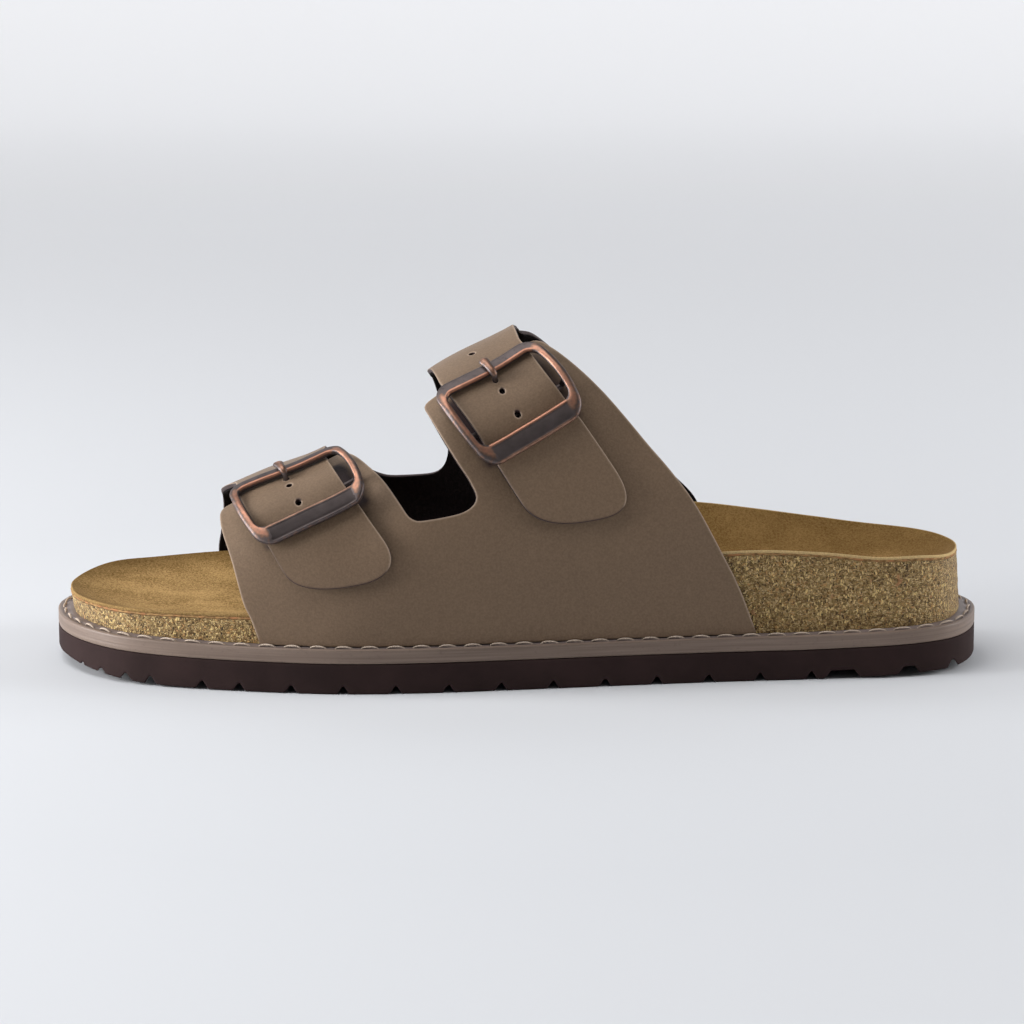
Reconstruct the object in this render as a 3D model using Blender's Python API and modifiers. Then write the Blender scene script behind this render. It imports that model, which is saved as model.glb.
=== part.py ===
"""Two-strap cork footbed sandal, left shoe, standing on its sole.

The toe points to -X, the outer side of the foot faces -Y and +Z is up. The origin is on the
floor, in the middle of the sole's length and width. Lengths are in metres.

Layers from the floor up: a grooved outsole, a welt that stands out as a ledge all round, a
moulded cork footbed and a suede insole. The upper has two quarters that share the surface of
one last: the outer quarter ends in two tabs, and the inner quarter's two straps cross the
instep, pass through the buckles and lie on the outer quarter.
"""

import math

import bmesh
import bpy
import numpy as np
from mathutils import Vector
from mathutils.geometry import delaunay_2d_cdt

MM = 0.001

# Footbed and sole
FOOTBED_LENGTH = 277.5 * MM
FOOTBED_WIDTH = 98 * MM
LEDGE_WIDTH = 5 * MM
OUTSOLE_THICKNESS = 9 * MM
WELT_THICKNESS = 4.5 * MM
INSOLE_THICKNESS = 1.6 * MM
RIM_HEIGHT = 28 * MM
TOE_SPRING = 1.5 * MM
HEEL_SPRING = 2.0 * MM
FLAT_START = 0.30
FLAT_END = 0.80
SOLE_EDGE_ROUND = 1.0 * MM
TOE_LEAN = 1.0 * MM
TOE_LEAN_END = 0.12
HEEL_TUCK_START = 0.90
SPINE_START = 0.14
SPINE_END = 0.86
GROOVE_PITCH = 15.8 * MM
GROOVE_WIDTH = 3.6 * MM
GROOVE_TOP = 0.6 * MM
GROOVE_DEPTH = 2.4 * MM
FIRST_GROOVE = 0.199
LAST_GROOVE = 0.83

# Upper
LEATHER_THICKNESS = 2.0 * MM
INSTEP_HEIGHT = 84 * MM
STRAP_WIDTH = 28.6 * MM
STRAP_HOLE_DIAMETER = 2.4 * MM
STRAP_TIP_ROUND = 11 * MM
STRAP_TIP_FULLNESS = 2.7
STRAP_TIP_SLANT = 0.3
STRAP_TIP_FLARE = 0.06
STRAP_BEND_PLACE = 4 * MM

# Buckle. Places on it are measured on the last under it, which curves away, so that at its own
# height the frame comes out about a fifth longer.
BUCKLE_LENGTH = 25.6 * MM
BUCKLE_BULGE = 2.0 * MM
RAIL_WIDTH = 2.6 * MM
TOP_BAR_WIDTH = 3.2 * MM
KEEPER_BAR_WIDTH = 5.6 * MM
BAR_THICKNESS = 1.8 * MM
RAIL_OVERLAP = 2.8 * MM
FRAME_CORNER = 4.4 * MM
HINGE_DIAMETER = 1.6 * MM
HINGE_PLACE = 2.0 * MM
HINGE_HEIGHT = 3.1 * MM
PRONG_DIAMETER = 1.6 * MM
PRONG_CURL_WALL = 0.6 * MM
CURL_RADIUS = 1.65 * MM
CURL_WIDTH = 2.4 * MM

GAP = 0.3 * MM

# Fineness of the meshes, and the steps of the slopes that are measured on the last
STATIONS = 32
PATTERN_SPACING = 6.4 * MM
PATTERN_CLEAR = 0.55
PATTERN_GIRTH = 200 * MM
SECTION_POINTS = 60
STEP_ALONG = 0.006
STEP_AROUND = 0.008
SHARP_ANGLE = math.radians(35)
MERGE_DISTANCE = 0.01 * MM

# Outline of the footbed seen from above, from the toe tip round the outer side to the heel and
# back along the inner side. Columns: share of the length from the toe, share of the width.
OUTLINE = (
    (0.000, 0.100),
    (0.004, -0.040),
    (0.017, -0.150),
    (0.040, -0.250),
    (0.073, -0.335),
    (0.115, -0.390),
    (0.165, -0.430),
    (0.225, -0.465),
    (0.310, -0.495),
    (0.400, -0.480),
    (0.500, -0.435),
    (0.610, -0.380),
    (0.730, -0.325),
    (0.850, -0.285),
    (0.910, -0.270),
    (0.950, -0.240),
    (0.976, -0.190),
    (0.993, -0.090),
    (1.000, 0.035),
    (0.994, 0.140),
    (0.976, 0.240),
    (0.945, 0.310),
    (0.895, 0.350),
    (0.830, 0.360),
    (0.720, 0.345),
    (0.600, 0.350),
    (0.490, 0.400),
    (0.380, 0.465),
    (0.280, 0.500),
    (0.180, 0.490),
    (0.105, 0.440),
    (0.050, 0.360),
    (0.016, 0.250),
)

# Footbed relief. Columns: share of the length, then heights above the ledge as shares of the rim
# height: outer rim, inner rim and middle of the bed; then how steeply the bed leaves the outer
# and the inner rim.
FOOTBED = (
    (0.00, 0.25, 0.25, 0.14, 3.0, 3.0),
    (0.03, 0.27, 0.31, 0.14, 3.6, 3.6),
    (0.08, 0.285, 0.325, 0.15, 4.0, 4.0),
    (0.15, 0.31, 0.36, 0.17, 4.0, 4.0),
    (0.22, 0.33, 0.38, 0.19, 4.0, 3.6),
    (0.32, 0.35, 0.43, 0.22, 3.5, 3.0),
    (0.45, 0.54, 0.70, 0.28, 2.6, 2.0),
    (0.58, 0.82, 0.99, 0.38, 2.2, 1.8),
    (0.70, 0.92, 1.05, 0.43, 2.2, 2.0),
    (0.78, 0.935, 0.96, 0.42, 2.4, 2.4),
    (0.84, 0.89, 0.87, 0.40, 2.5, 2.5),
    (0.90, 0.81, 0.78, 0.38, 2.6, 2.6),
    (0.95, 0.78, 0.735, 0.37, 2.6, 2.6),
    (1.00, 0.70, 0.70, 0.37, 2.6, 2.6),
)

# The last over the footbed. Columns: share of the length, crest height above the ledge as a share
# of the instep height, crest place across as a share of the footbed width, and the fullness of
# the outer and the inner side (2 is an ellipse, more is boxier).
LAST = (
    (0.00, 0.25, -0.02, 2.40, 2.5),
    (0.10, 0.33, -0.07, 2.40, 2.5),
    (0.175, 0.437, -0.11, 2.42, 2.5),
    (0.22, 0.502, -0.10, 2.46, 2.5),
    (0.28, 0.570, -0.06, 2.42, 2.5),
    (0.34, 0.675, -0.03, 2.20, 2.45),
    (0.40, 0.854, -0.02, 2.20, 2.4),
    (0.50, 1.022, 0.02, 1.90, 2.3),
    (0.60, 1.200, 0.06, 1.65, 2.2),
    (0.70, 1.280, 0.08, 1.80, 2.2),
    (0.80, 1.340, 0.05, 2.00, 2.2),
    (1.00, 1.390, 0.00, 2.20, 2.2),
)

# Cross grooves of the outsole: share of the length, width as a share of the groove width. The wide
# ones near the toe and the heel part the tread's end blocks.
GROOVES = (
    (0.020, 0.6),
    (0.043, 1.0),
    (0.072, 1.1),
    (0.100, 1.0),
    (0.158, 1.0),
    *((share, 1.0) for share in np.arange(FIRST_GROOVE, LAST_GROOVE, GROOVE_PITCH / FOOTBED_LENGTH)),
    (0.860, 3.0),
    (0.934, 1.9),
    (0.985, 1.0),
)

# Pattern of the outer quarter on the last, from the front of its lower edge over the two tabs to
# the back of its lower edge. Columns: share of the length, share of the way round the last from
# the outer ledge to the inner ledge.
OUTER_QUARTER = (
    (0.223, 0.000),
    (0.213, 0.052),
    (0.205, 0.085),
    (0.194, 0.160),
    (0.183, 0.226),
    (0.179, 0.262),
    (0.178, 0.298),
    (0.184, 0.318),
    (0.200, 0.330),
    (0.250, 0.372),
    (0.295, 0.410),
    (0.311, 0.414),
    (0.320, 0.393),
    (0.339, 0.333),
    (0.356, 0.286),
    (0.376, 0.226),
    (0.387, 0.199),
    (0.402, 0.191),
    (0.440, 0.194),
    (0.456, 0.210),
    (0.450, 0.236),
    (0.434, 0.274),
    (0.418, 0.319),
    (0.406, 0.363),
    (0.403, 0.385),
    (0.414, 0.396),
    (0.460, 0.421),
    (0.512, 0.447),
    (0.529, 0.439),
    (0.540, 0.420),
    (0.563, 0.381),
    (0.596, 0.327),
    (0.640, 0.255),
    (0.668, 0.213),
    (0.694, 0.170),
    (0.724, 0.106),
    (0.745, 0.057),
    (0.764, 0.000),
)

# Pattern of the inner quarter, in the same columns: its front edge up to the front strap, the
# notch between the straps, and its back edge down from the rear strap.
INNER_QUARTER_FRONT = (
    (0.160, 1.000),
    (0.155, 0.955),
    (0.1535, 0.920),
    (0.157, 0.880),
    (0.161, 0.830),
    (0.163, 0.760),
    (0.164, 0.690),
    (0.168, 0.630),
    (0.176, 0.565),
    (0.186, 0.500),
)
INNER_QUARTER_NOTCH = (
    (0.292, 0.500),
    (0.288, 0.570),
    (0.290, 0.640),
    (0.298, 0.700),
    (0.312, 0.745),
    (0.327, 0.775),
    (0.347, 0.800),
    (0.372, 0.812),
    (0.400, 0.818),
    (0.414, 0.810),
    (0.421, 0.785),
    (0.420, 0.745),
    (0.415, 0.700),
    (0.410, 0.640),
    (0.407, 0.580),
    (0.407, 0.530),
)
INNER_QUARTER_BACK = (
    (0.504, 0.540),
    (0.521, 0.590),
    (0.544, 0.640),
    (0.572, 0.690),
    (0.600, 0.738),
    (0.650, 0.803),
    (0.680, 0.843),
    (0.700, 0.867),
    (0.711, 0.887),
    (0.725, 0.930),
    (0.742, 1.000),
)

# Buckles. Columns: name; centre as shares of the length and of the way round the last; turn of the
# frame in degrees from straight across; its stretch along the strap and its skew toward the heel,
# which make up for the last's curve and twist there; how far the strap lies off the frame's middle
# as a share of its width; its lean toward the heel past its bend; and how far its tip reaches past
# the frame as a share of the frame's length.
BUCKLES = (
    ("front", 0.271, 0.275, 19, 0.91, 0.13, -0.075, 0.12, 0.79),
    ("rear", 0.495, 0.335, 32, 1.06, 0.02, -0.007, 0.09, 0.93),
)

# How far the straps stand off the last. Columns: place along the strap from the buckle's middle,
# positive toward the tip, as a share of the buckle's length; lift as a share of the leather.
STRAP_LIFT = (
    (-2.60, 0.00),
    (-1.70, 0.45),
    (-1.15, 1.10),
    (-0.80, 1.40),
    (-0.44, 2.10),
    (-0.29, 2.20),
    (0.06, 2.65),
    (0.29, 2.00),
    (0.50, 1.80),
    (0.85, 1.25),
    (1.10, 1.20),
    (2.00, 1.20),
)

# How far the straps drift toward the heel on their way up to the crest. Columns: place along the
# strap as a share of the buckle's length; drift as a share of the strap's width.
STRAP_DRIFT = (
    (-0.75, 0.115),
    (-0.62, 0.080),
    (-0.50, 0.050),
    (-0.30, 0.020),
    (-0.10, 0.000),
    (0.10, 0.000),
)

# Places of the strap's holes from the buckle's middle, as shares of the buckle's length.
PRONG_HOLE = -0.322
STRAP_HOLES = (-0.90, PRONG_HOLE, -0.165, 0.140)

# Section of the frame's bars. Columns: share of the way from the outer to the inner edge, share of
# the bar's thickness.
BAR_SECTION = (
    (0.00, 0.25),
    (0.12, 0.00),
    (0.88, 0.00),
    (1.00, 0.25),
    (1.00, 0.70),
    (0.80, 1.00),
    (0.20, 1.00),
    (0.00, 0.70),
)

# Underside of the buckle's frame. Columns: share of the buckle's length from its middle, height
# over the last as a share of the leather.
FRAME_HEIGHT = (
    (-0.60, 3.32),
    (-0.38, 3.40),
    (0.06, 3.46),
    (0.29, 3.28),
    (0.60, 3.15),
)

# End of the hinge bar, from inside the rail down to the strap's edge. Columns: share of the way
# from the strap's edge to the rail, share of the height between hinge bar and rail.
HINGE_END = (
    (1.00, 1.00),
    (0.95, 0.72),
    (0.72, 0.17),
    (0.50, 0.03),
    (0.10, 0.00),
)

# Shaft of the prong from its curl to its tip. Columns: what the place is counted from, place
# toward the tip as a negative number of prong radii, what the height is counted from, height over
# it in radii, and the section's width and depth as shares of the prong.
PRONG_SHAFT = (
    ("hinge", -2.0, "curl", -0.1, 0.9, 0.6),
    ("hinge", -4.2, "curl", -0.8, 1.0, 0.8),
    ("hinge", -7.0, "strap", 0.1, 1.0, 1.0),
    ("hole", 2.4, "strap", 0.0, 1.0, 1.0),
    ("hole", 0.6, "strap", 0.6, 1.0, 1.0),
    ("hole", 0.0, "strap", 2.0, 1.0, 1.0),
    ("hole", 0.0, "bar", -2.8, 1.0, 1.0),
    ("hole", -0.4, "bar", -0.9, 1.35, 1.0),
    ("hole", -1.6, "bar", 0.0, 1.55, 1.0),
    ("hole", -3.4, "bar", 0.1, 1.6, 1.0),
    ("hole", -5.3, "bar", 0.0, 2.0, 1.0),
    ("hole", -6.5, "bar", -0.1, 1.4, 0.6),
)

# Finish of each piece. Columns: red, green and blue of the base colour, roughness, metallic.
FINISHES = {
    "outsole": (0.045, 0.024, 0.024, 0.75, 0.0),
    "welt": (0.22, 0.16, 0.13, 0.70, 0.0),
    "footbed": (0.30, 0.19, 0.10, 0.85, 0.0),
    "insole": (0.36, 0.23, 0.09, 0.90, 0.0),
    "outer_quarter": (0.17, 0.13, 0.085, 0.85, 0.0),
    "inner_quarter": (0.17, 0.13, 0.085, 0.85, 0.0),
    "buckle_front": (0.20, 0.13, 0.11, 0.35, 1.0),
    "buckle_rear": (0.20, 0.13, 0.11, 0.35, 1.0),
    "prong_front": (0.26, 0.15, 0.11, 0.35, 1.0),
    "prong_rear": (0.26, 0.15, 0.11, 0.35, 1.0),
}


def eased(rows, column, along):
    """Reads one column of a table with a cubic whose slope at each row follows its neighbours."""
    table = np.array(rows)
    stations, values = table[:, 0], table[:, column]
    slopes = np.gradient(values, stations)
    along = np.clip(along, stations[0], stations[-1])
    row = np.clip(np.searchsorted(stations, along) - 1, 0, len(stations) - 2)
    span = stations[row + 1] - stations[row]
    t = (along - stations[row]) / span
    level = (2 * t**3 - 3 * t**2 + 1) * values[row] + (3 * t**2 - 2 * t**3) * values[row + 1]
    slope = (t**3 - 2 * t**2 + t) * slopes[row] + (t**3 - t**2) * slopes[row + 1]
    return level + slope * span


def catmull_rom(a, b, c, d, t):
    """The Catmull-Rom cubic from b to c, with a before them and d after."""
    bend = 2 * a - 5 * b + 4 * c - d
    twist = 3 * b - a - 3 * c + d
    return 0.5 * (2 * b + (c - a) * t + bend * t**2 + twist * t**3)


def closed_curve(points, samples):
    """A closed Catmull-Rom curve through the points."""
    points = np.array(points)
    before, after, beyond = np.roll(points, 1, 0), np.roll(points, -1, 0), np.roll(points, -2, 0)
    t = np.linspace(0, 1, samples, endpoint=False)[None, :, None]
    a, b, c, d = (p[:, None, :] for p in (before, points, after, beyond))
    return catmull_rom(a, b, c, d, t).reshape(-1, 2)


def footbed_sides():
    """The footbed's outer and inner edge as two curves over the length, both from toe to heel."""
    curve = closed_curve(OUTLINE, 40)
    low, high = curve.min(0), curve.max(0)
    curve = (curve - low) / (high - low)
    curve[:, 1] -= 0.5
    curve = np.roll(curve, -np.argmin(curve[:, 0]), axis=0)
    heel = np.argmax(curve[:, 0])
    outer = curve[: heel + 1]
    inner = np.vstack([curve[heel:], curve[:1]])[::-1]
    return outer, inner


OUTER_SIDE, INNER_SIDE = footbed_sides()


def edge_across(side, along):
    """Y of the footbed's edge, where side is one of the two edge curves."""
    return np.interp(along, side[:, 0], side[:, 1]) * FOOTBED_WIDTH


def x_of(along):
    return (along - 0.5) * FOOTBED_LENGTH


def rocker(along):
    """Height of the sole's underside over the floor: zero between FLAT_START and FLAT_END."""
    toe = np.clip((FLAT_START - along) / FLAT_START, 0, 1)
    heel = np.clip((along - FLAT_END) / (1 - FLAT_END), 0, 1)
    return TOE_SPRING * toe**2.2 + HEEL_SPRING * heel**1.6


def ledge_height(along):
    """Height of the welt's upper face."""
    return rocker(along) + OUTSOLE_THICKNESS + GAP + WELT_THICKNESS


def edge_loop():
    """Stations round the footbed: shares of the length, and the side each one is on."""
    stations = (1 - np.cos(np.pi * np.arange(STATIONS + 1) / STATIONS)) / 2
    along = np.concatenate([stations, stations[-2:0:-1]])
    inner = np.arange(len(along)) > STATIONS
    return along, inner


def plan_loop(outset):
    """The footbed's outline moved outward by outset, as X and Y."""
    along, inner = edge_loop()
    y = np.where(inner, edge_across(INNER_SIDE, along), edge_across(OUTER_SIDE, along))
    loop = np.column_stack([x_of(along), y])
    forward = np.roll(loop, -1, 0) - loop
    forward /= np.linalg.norm(forward, axis=1)[:, None]
    tangent = forward + np.roll(forward, 1, 0)
    tangent /= np.linalg.norm(tangent, axis=1)[:, None]
    outward = np.column_stack([-tangent[:, 1], tangent[:, 0]])
    if np.sum(outward * (loop - loop.mean(0))) < 0:
        outward = -outward
    return loop + outward * np.asarray(outset).reshape(-1, 1)


def spine_loop():
    """For each station the point in the middle of the footbed that its side faces."""
    along, _ = edge_loop()
    middle = np.clip(along, SPINE_START, SPINE_END)
    y = (edge_across(OUTER_SIDE, middle) + edge_across(INNER_SIDE, middle)) / 2
    return middle, np.column_stack([x_of(middle), y])


def ring(plan, heights):
    return np.column_stack([plan, np.broadcast_to(heights, len(plan))])


def skin(name, rings, collection):
    """A closed mesh through a stack of rings, the first and last drawn together on the spine."""
    count = len(rings[0])
    bm = bmesh.new()
    rows = [[bm.verts.new(point) for point in each] for each in rings]
    for lower, upper in zip(rows, rows[1:]):
        for i in range(count):
            j = (i + 1) % count
            bm.faces.new((lower[i], lower[j], upper[j], upper[i]))
    bmesh.ops.remove_doubles(bm, verts=bm.verts, dist=MERGE_DISTANCE)
    bmesh.ops.recalc_face_normals(bm, faces=bm.faces)
    return add_object(name, bm, collection)


def add_object(name, bm, collection):
    """Moves a bmesh into a new named object."""
    mesh = bpy.data.meshes.new(name)
    bm.to_mesh(mesh)
    bm.free()
    obj = bpy.data.objects.new(name, mesh)
    collection.objects.link(obj)
    mesh.shade_smooth()
    mesh.set_sharp_from_angle(angle=SHARP_ANGLE)
    return obj


def apply_modifiers(obj):
    """Turns the object's evaluated shape into its own mesh."""
    graph = bpy.context.evaluated_depsgraph_get()
    mesh = bpy.data.meshes.new_from_object(obj.evaluated_get(graph))
    obj.modifiers.clear()
    obj.data = mesh


def add_boolean(obj, other, operation):
    modifier = obj.modifiers.new(operation.title(), "BOOLEAN")
    modifier.operation = operation
    modifier.object = other


def outsole(parts, cutters):
    """Grooved rubber sole: flat in the middle, lifted at toe and heel, its lower edge rounded."""
    along, _ = edge_loop()
    middle, spine = spine_loop()
    low, side_low = plan_loop(LEDGE_WIDTH - SOLE_EDGE_ROUND), plan_loop(LEDGE_WIDTH)
    rings = [
        ring(spine, rocker(middle)),
        ring(low, rocker(along)),
        ring(side_low, rocker(along) + SOLE_EDGE_ROUND),
        ring(side_low, rocker(along) + OUTSOLE_THICKNESS),
        ring(spine, rocker(middle) + OUTSOLE_THICKNESS),
    ]
    sole = skin("outsole", rings, parts)
    add_boolean(sole, groove_cutters(cutters), "DIFFERENCE")
    apply_modifiers(sole)
    sole.data.shade_flat()
    return sole


def groove_cutters(cutters):
    """One mesh of bars that cut the cross grooves: roof-shaped, and flat-topped where wide."""
    bm = bmesh.new()
    reach = FOOTBED_WIDTH
    for along, width in GROOVES:
        x = x_of(along)
        half = width * GROOVE_WIDTH / 2
        top = max(half - GROOVE_WIDTH / 2, GROOVE_TOP / 2)
        floor = rocker(np.array([along]))[0]
        below, above = floor - GROOVE_DEPTH, floor + GROOVE_DEPTH
        foot = 2 * half - top
        corners = ((x - foot, below), (x + foot, below), (x + top, above), (x - top, above))
        ends = [[bm.verts.new((cx, y, cz)) for cx, cz in corners] for y in (-reach, reach)]
        bm.faces.new(ends[0])
        bm.faces.new(ends[1][::-1])
        for i in range(4):
            j = (i + 1) % 4
            bm.faces.new((ends[0][i], ends[1][i], ends[1][j], ends[0][j]))
    bmesh.ops.recalc_face_normals(bm, faces=bm.faces)
    bars = add_object("groove_cutters", bm, cutters)
    bars.hide_render = True
    bars.display_type = "WIRE"
    return bars


def welt(parts):
    """Midsole layer whose edge stands out round the footbed as the stitched ledge."""
    along, _ = edge_loop()
    middle, spine = spine_loop()
    edge = plan_loop(LEDGE_WIDTH)
    base = OUTSOLE_THICKNESS + GAP
    rings = [
        ring(spine, rocker(middle) + base),
        ring(edge, rocker(along) + base),
        ring(edge, ledge_height(along)),
        ring(spine, ledge_height(middle)),
    ]
    return skin("welt", rings, parts)


# Shares of the way from the edge to the spine at which the footbed's relief has a ring.
RELIEF_RINGS = (0.0, 0.07, 0.16, 0.27, 0.41, 0.58, 0.78, 1.0)


def rim_height(along, inner):
    """Height of the insole's edge above the ledge."""
    return RIM_HEIGHT * np.where(inner, eased(FOOTBED, 2, along), eased(FOOTBED, 1, along))


def relief_rings(depth, edge_outset):
    """Rings of the insole's upper face, or of a face lying depth below it."""
    along, inner = edge_loop()
    middle, spine = spine_loop()
    edge = plan_loop(edge_outset)
    rim = ledge_height(along) + rim_height(along, inner)
    bed = ledge_height(middle) + RIM_HEIGHT * eased(FOOTBED, 3, middle)
    steepness = np.where(inner, eased(FOOTBED, 5, middle), eased(FOOTBED, 4, middle))
    inward = spine - edge
    reach = np.linalg.norm(inward, axis=1)
    inward /= reach[:, None]
    shares = np.array(RELIEF_RINGS)[:, None]
    across = shares * reach
    height = bed + (rim - bed) * (1 - shares) ** steepness
    slope = np.gradient(height, axis=0) / np.maximum(np.gradient(across, axis=0), 1e-9)
    length = np.sqrt(1 + slope**2)
    across_low = across + depth * slope / length
    height_low = height - depth / length
    across_low[0], height_low[0] = 0, height[0] - depth * 1.2
    across_low[-1], height_low[-1] = reach, height[-1] - depth
    return [ring(edge + inward * a[:, None], h) for a, h in zip(across_low, height_low)]


def rim_outset():
    """How far the rim stands out over the footbed's base: out round the toe, in round the heel."""
    along, _ = edge_loop()
    toe = np.clip((TOE_LEAN_END - along) / TOE_LEAN_END, 0, 1)
    heel = np.clip((along - HEEL_TUCK_START) / (along.max() - HEEL_TUCK_START), 0, 1)
    return TOE_LEAN * (toe - heel)


def footbed(parts):
    """Moulded cork with a raised rim, heel cup and arch."""
    along, _ = edge_loop()
    middle, spine = spine_loop()
    top = relief_rings(INSOLE_THICKNESS + GAP, rim_outset())
    base = [ring(spine, ledge_height(middle) + GAP), ring(plan_loop(0.0), ledge_height(along) + GAP)]
    return skin("footbed", base + top, parts)


def insole(parts):
    """Suede sheet moulded over the cork, flush with its edge."""
    lower = relief_rings(INSOLE_THICKNESS, rim_outset())
    upper = relief_rings(0.0, rim_outset())
    return skin("insole", lower[::-1] + upper, parts)


def on_last(along, around):
    """Points on the last. around is the share of the way over it, from outer to inner ledge."""
    along = np.atleast_1d(np.asarray(along, float))
    around = np.atleast_1d(np.asarray(around, float))
    ledge = ledge_height(along) + GAP
    crest = ledge + INSTEP_HEIGHT * eased(LAST, 1, along)
    crest_y = FOOTBED_WIDTH * eased(LAST, 2, along)
    turn = np.linspace(0, math.pi / 2, SECTION_POINTS)
    halves = []
    for side, column, outward in ((OUTER_SIDE, 1, -1), (INNER_SIDE, 2, 1)):
        edge = edge_across(side, along) + outward * GAP
        wall_top = ledge + RIM_HEIGHT * eased(FOOTBED, column, along)
        power = 2 / eased(LAST, column + 2, along)[:, None]
        y = crest_y[:, None] + (edge - crest_y)[:, None] * np.cos(turn) ** power
        z = wall_top[:, None] + (crest - wall_top)[:, None] * np.sin(turn) ** power
        y = np.column_stack([edge, y])
        z = np.column_stack([ledge, z])
        halves.append((y, z))
    y = np.hstack([halves[0][0], halves[1][0][:, -2::-1]])
    z = np.hstack([halves[0][1], halves[1][1][:, -2::-1]])
    steps = np.hypot(np.diff(y), np.diff(z))
    run = np.hstack([np.zeros((len(y), 1)), np.cumsum(steps, axis=1)])
    goal = np.clip(around, 0, 1) * run[:, -1]
    spot = np.clip((run <= goal[:, None]).sum(1) - 1, 0, run.shape[1] - 2)
    row = np.arange(len(y))
    t = (goal - run[row, spot]) / np.maximum(run[row, spot + 1] - run[row, spot], 1e-9)
    across = y[row, spot] + t * (y[row, spot + 1] - y[row, spot])
    height = z[row, spot] + t * (z[row, spot + 1] - z[row, spot])
    return np.column_stack([x_of(along), across, height])


def last_axes(along, around):
    """How the point on the last moves with each share, by central differences."""
    lower, upper = np.clip(around - STEP_AROUND, 0, 1), np.clip(around + STEP_AROUND, 0, 1)
    by_along = on_last(along + STEP_ALONG, around) - on_last(along - STEP_ALONG, around)
    by_along /= 2 * STEP_ALONG
    by_around = (on_last(along, upper) - on_last(along, lower)) / (upper - lower)[:, None]
    return by_along, by_around


def lifted(along, around, lift):
    """Points at the height lift above the last."""
    along, around = np.atleast_1d(along), np.atleast_1d(around)
    by_along, by_around = last_axes(along, around)
    normal = np.cross(by_along, by_around)
    normal /= np.linalg.norm(normal, axis=1)[:, None]
    return on_last(along, around) + normal * np.asarray(lift).reshape(-1, 1)


def open_curve(points, samples):
    """A Catmull-Rom curve through the points from the first to the last."""
    points = np.array(points, float)
    ends = np.vstack([2 * points[0] - points[1], points, 2 * points[-1] - points[-2]])
    t = np.linspace(0, 1, samples, endpoint=False)[None, :, None]
    a, b, c, d = (ends[i : len(ends) - 3 + i][:, None, :] for i in range(4))
    return np.vstack([catmull_rom(a, b, c, d, t).reshape(-1, 2), points[-1:]])


class Strap:
    """Flat coordinates round one buckle: u along its bars toward the heel, v toward the tip."""

    def __init__(self, row):
        self.name, along, around, turn, stretch, skew, offset, self.lean, reach = row
        self.offset = STRAP_WIDTH * offset
        self.tip = BUCKLE_LENGTH * (0.5 + reach)
        self.centre = np.array([along, around])
        by_along, by_around = (axis[0] for axis in last_axes(np.array([along]), np.array([around])))
        normal = np.cross(by_along, by_around)
        down = -by_around / np.linalg.norm(by_around)
        back = np.cross(normal, down)
        back /= np.linalg.norm(back)
        angle = math.radians(turn)
        v_axis = math.cos(angle) * down + math.sin(angle) * back
        u_axis = math.cos(angle) * back - math.sin(angle) * down
        v_axis = stretch * (v_axis + skew * u_axis)
        steps = np.linalg.pinv(np.column_stack([by_along, by_around]))
        self.to_shares = steps @ np.column_stack([u_axis, v_axis])

    def shares(self, u, v):
        """Shares on the last of points given in metres from the buckle's middle."""
        return self.centre + np.column_stack(np.broadcast_arrays(u, v)) @ self.to_shares.T

    def middle(self, v):
        """How far toward the heel the strap's middle line lies: it leans past its bend."""
        past = np.maximum(np.asarray(v) - STRAP_BEND_PLACE, 0)
        drift = STRAP_WIDTH * eased(STRAP_DRIFT, 1, np.asarray(v) / BUCKLE_LENGTH)
        return self.offset + self.lean * past + drift

    def on_strap(self, u, v):
        """Shares of points of the strap, which widens a little past its bend."""
        past = np.maximum(np.asarray(v) - STRAP_BEND_PLACE, 0)
        flare = 1 + STRAP_TIP_FLARE * past / BUCKLE_LENGTH
        return self.shares(self.middle(v) + u * flare, v)

    def flat(self, shares):
        """The opposite of shares."""
        return (shares - self.centre) @ np.linalg.inv(self.to_shares).T

    def points(self, u, v, w):
        """Points in space, at the height w over the last."""
        shares = self.shares(u, v)
        return lifted(shares[:, 0], shares[:, 1], w)


def strap_end(strap):
    """Outline of the strap round its tip, from its front side to its back side."""
    start = strap.tip - STRAP_TIP_ROUND
    half = STRAP_WIDTH / 2
    turn = np.linspace(0, math.pi / 2, 9)
    out = np.cos(turn) ** (2 / STRAP_TIP_FULLNESS)
    on = np.sin(turn) ** (2 / STRAP_TIP_FULLNESS)
    side = np.linspace(-BUCKLE_LENGTH * 0.75, start, 8)[:-1]
    u = np.concatenate([np.full(len(side), half), half * out])
    v = np.concatenate([side, start + STRAP_TIP_ROUND * on])
    u, v = np.concatenate([-u, u[-2::-1]]), np.concatenate([v, v[-2::-1]])
    return strap.on_strap(u, v + STRAP_TIP_SLANT * u * np.clip(v / strap.tip, 0, 1) ** 2)


def strap_lift(shares, straps):
    """Lift of the inner quarter over the last at the given shares."""
    lift = np.zeros(len(shares))
    for strap in straps:
        flat = strap.flat(shares)
        near = np.abs(flat[:, 0]) < STRAP_WIDTH
        own = LEATHER_THICKNESS * eased(STRAP_LIFT, 1, flat[:, 1] / BUCKLE_LENGTH)
        lift = np.where(near, np.maximum(lift, own), lift)
    return lift


def evenly(line, spacing, scale):
    """The line with points about one spacing apart, without its last point."""
    run = np.concatenate([[0], np.cumsum(np.linalg.norm(np.diff(line * scale, axis=0), axis=1))])
    goal = np.linspace(0, run[-1], round(run[-1] / spacing), endpoint=False)
    return np.column_stack([np.interp(goal, run, line[:, 0]), np.interp(goal, run, line[:, 1])])


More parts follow.
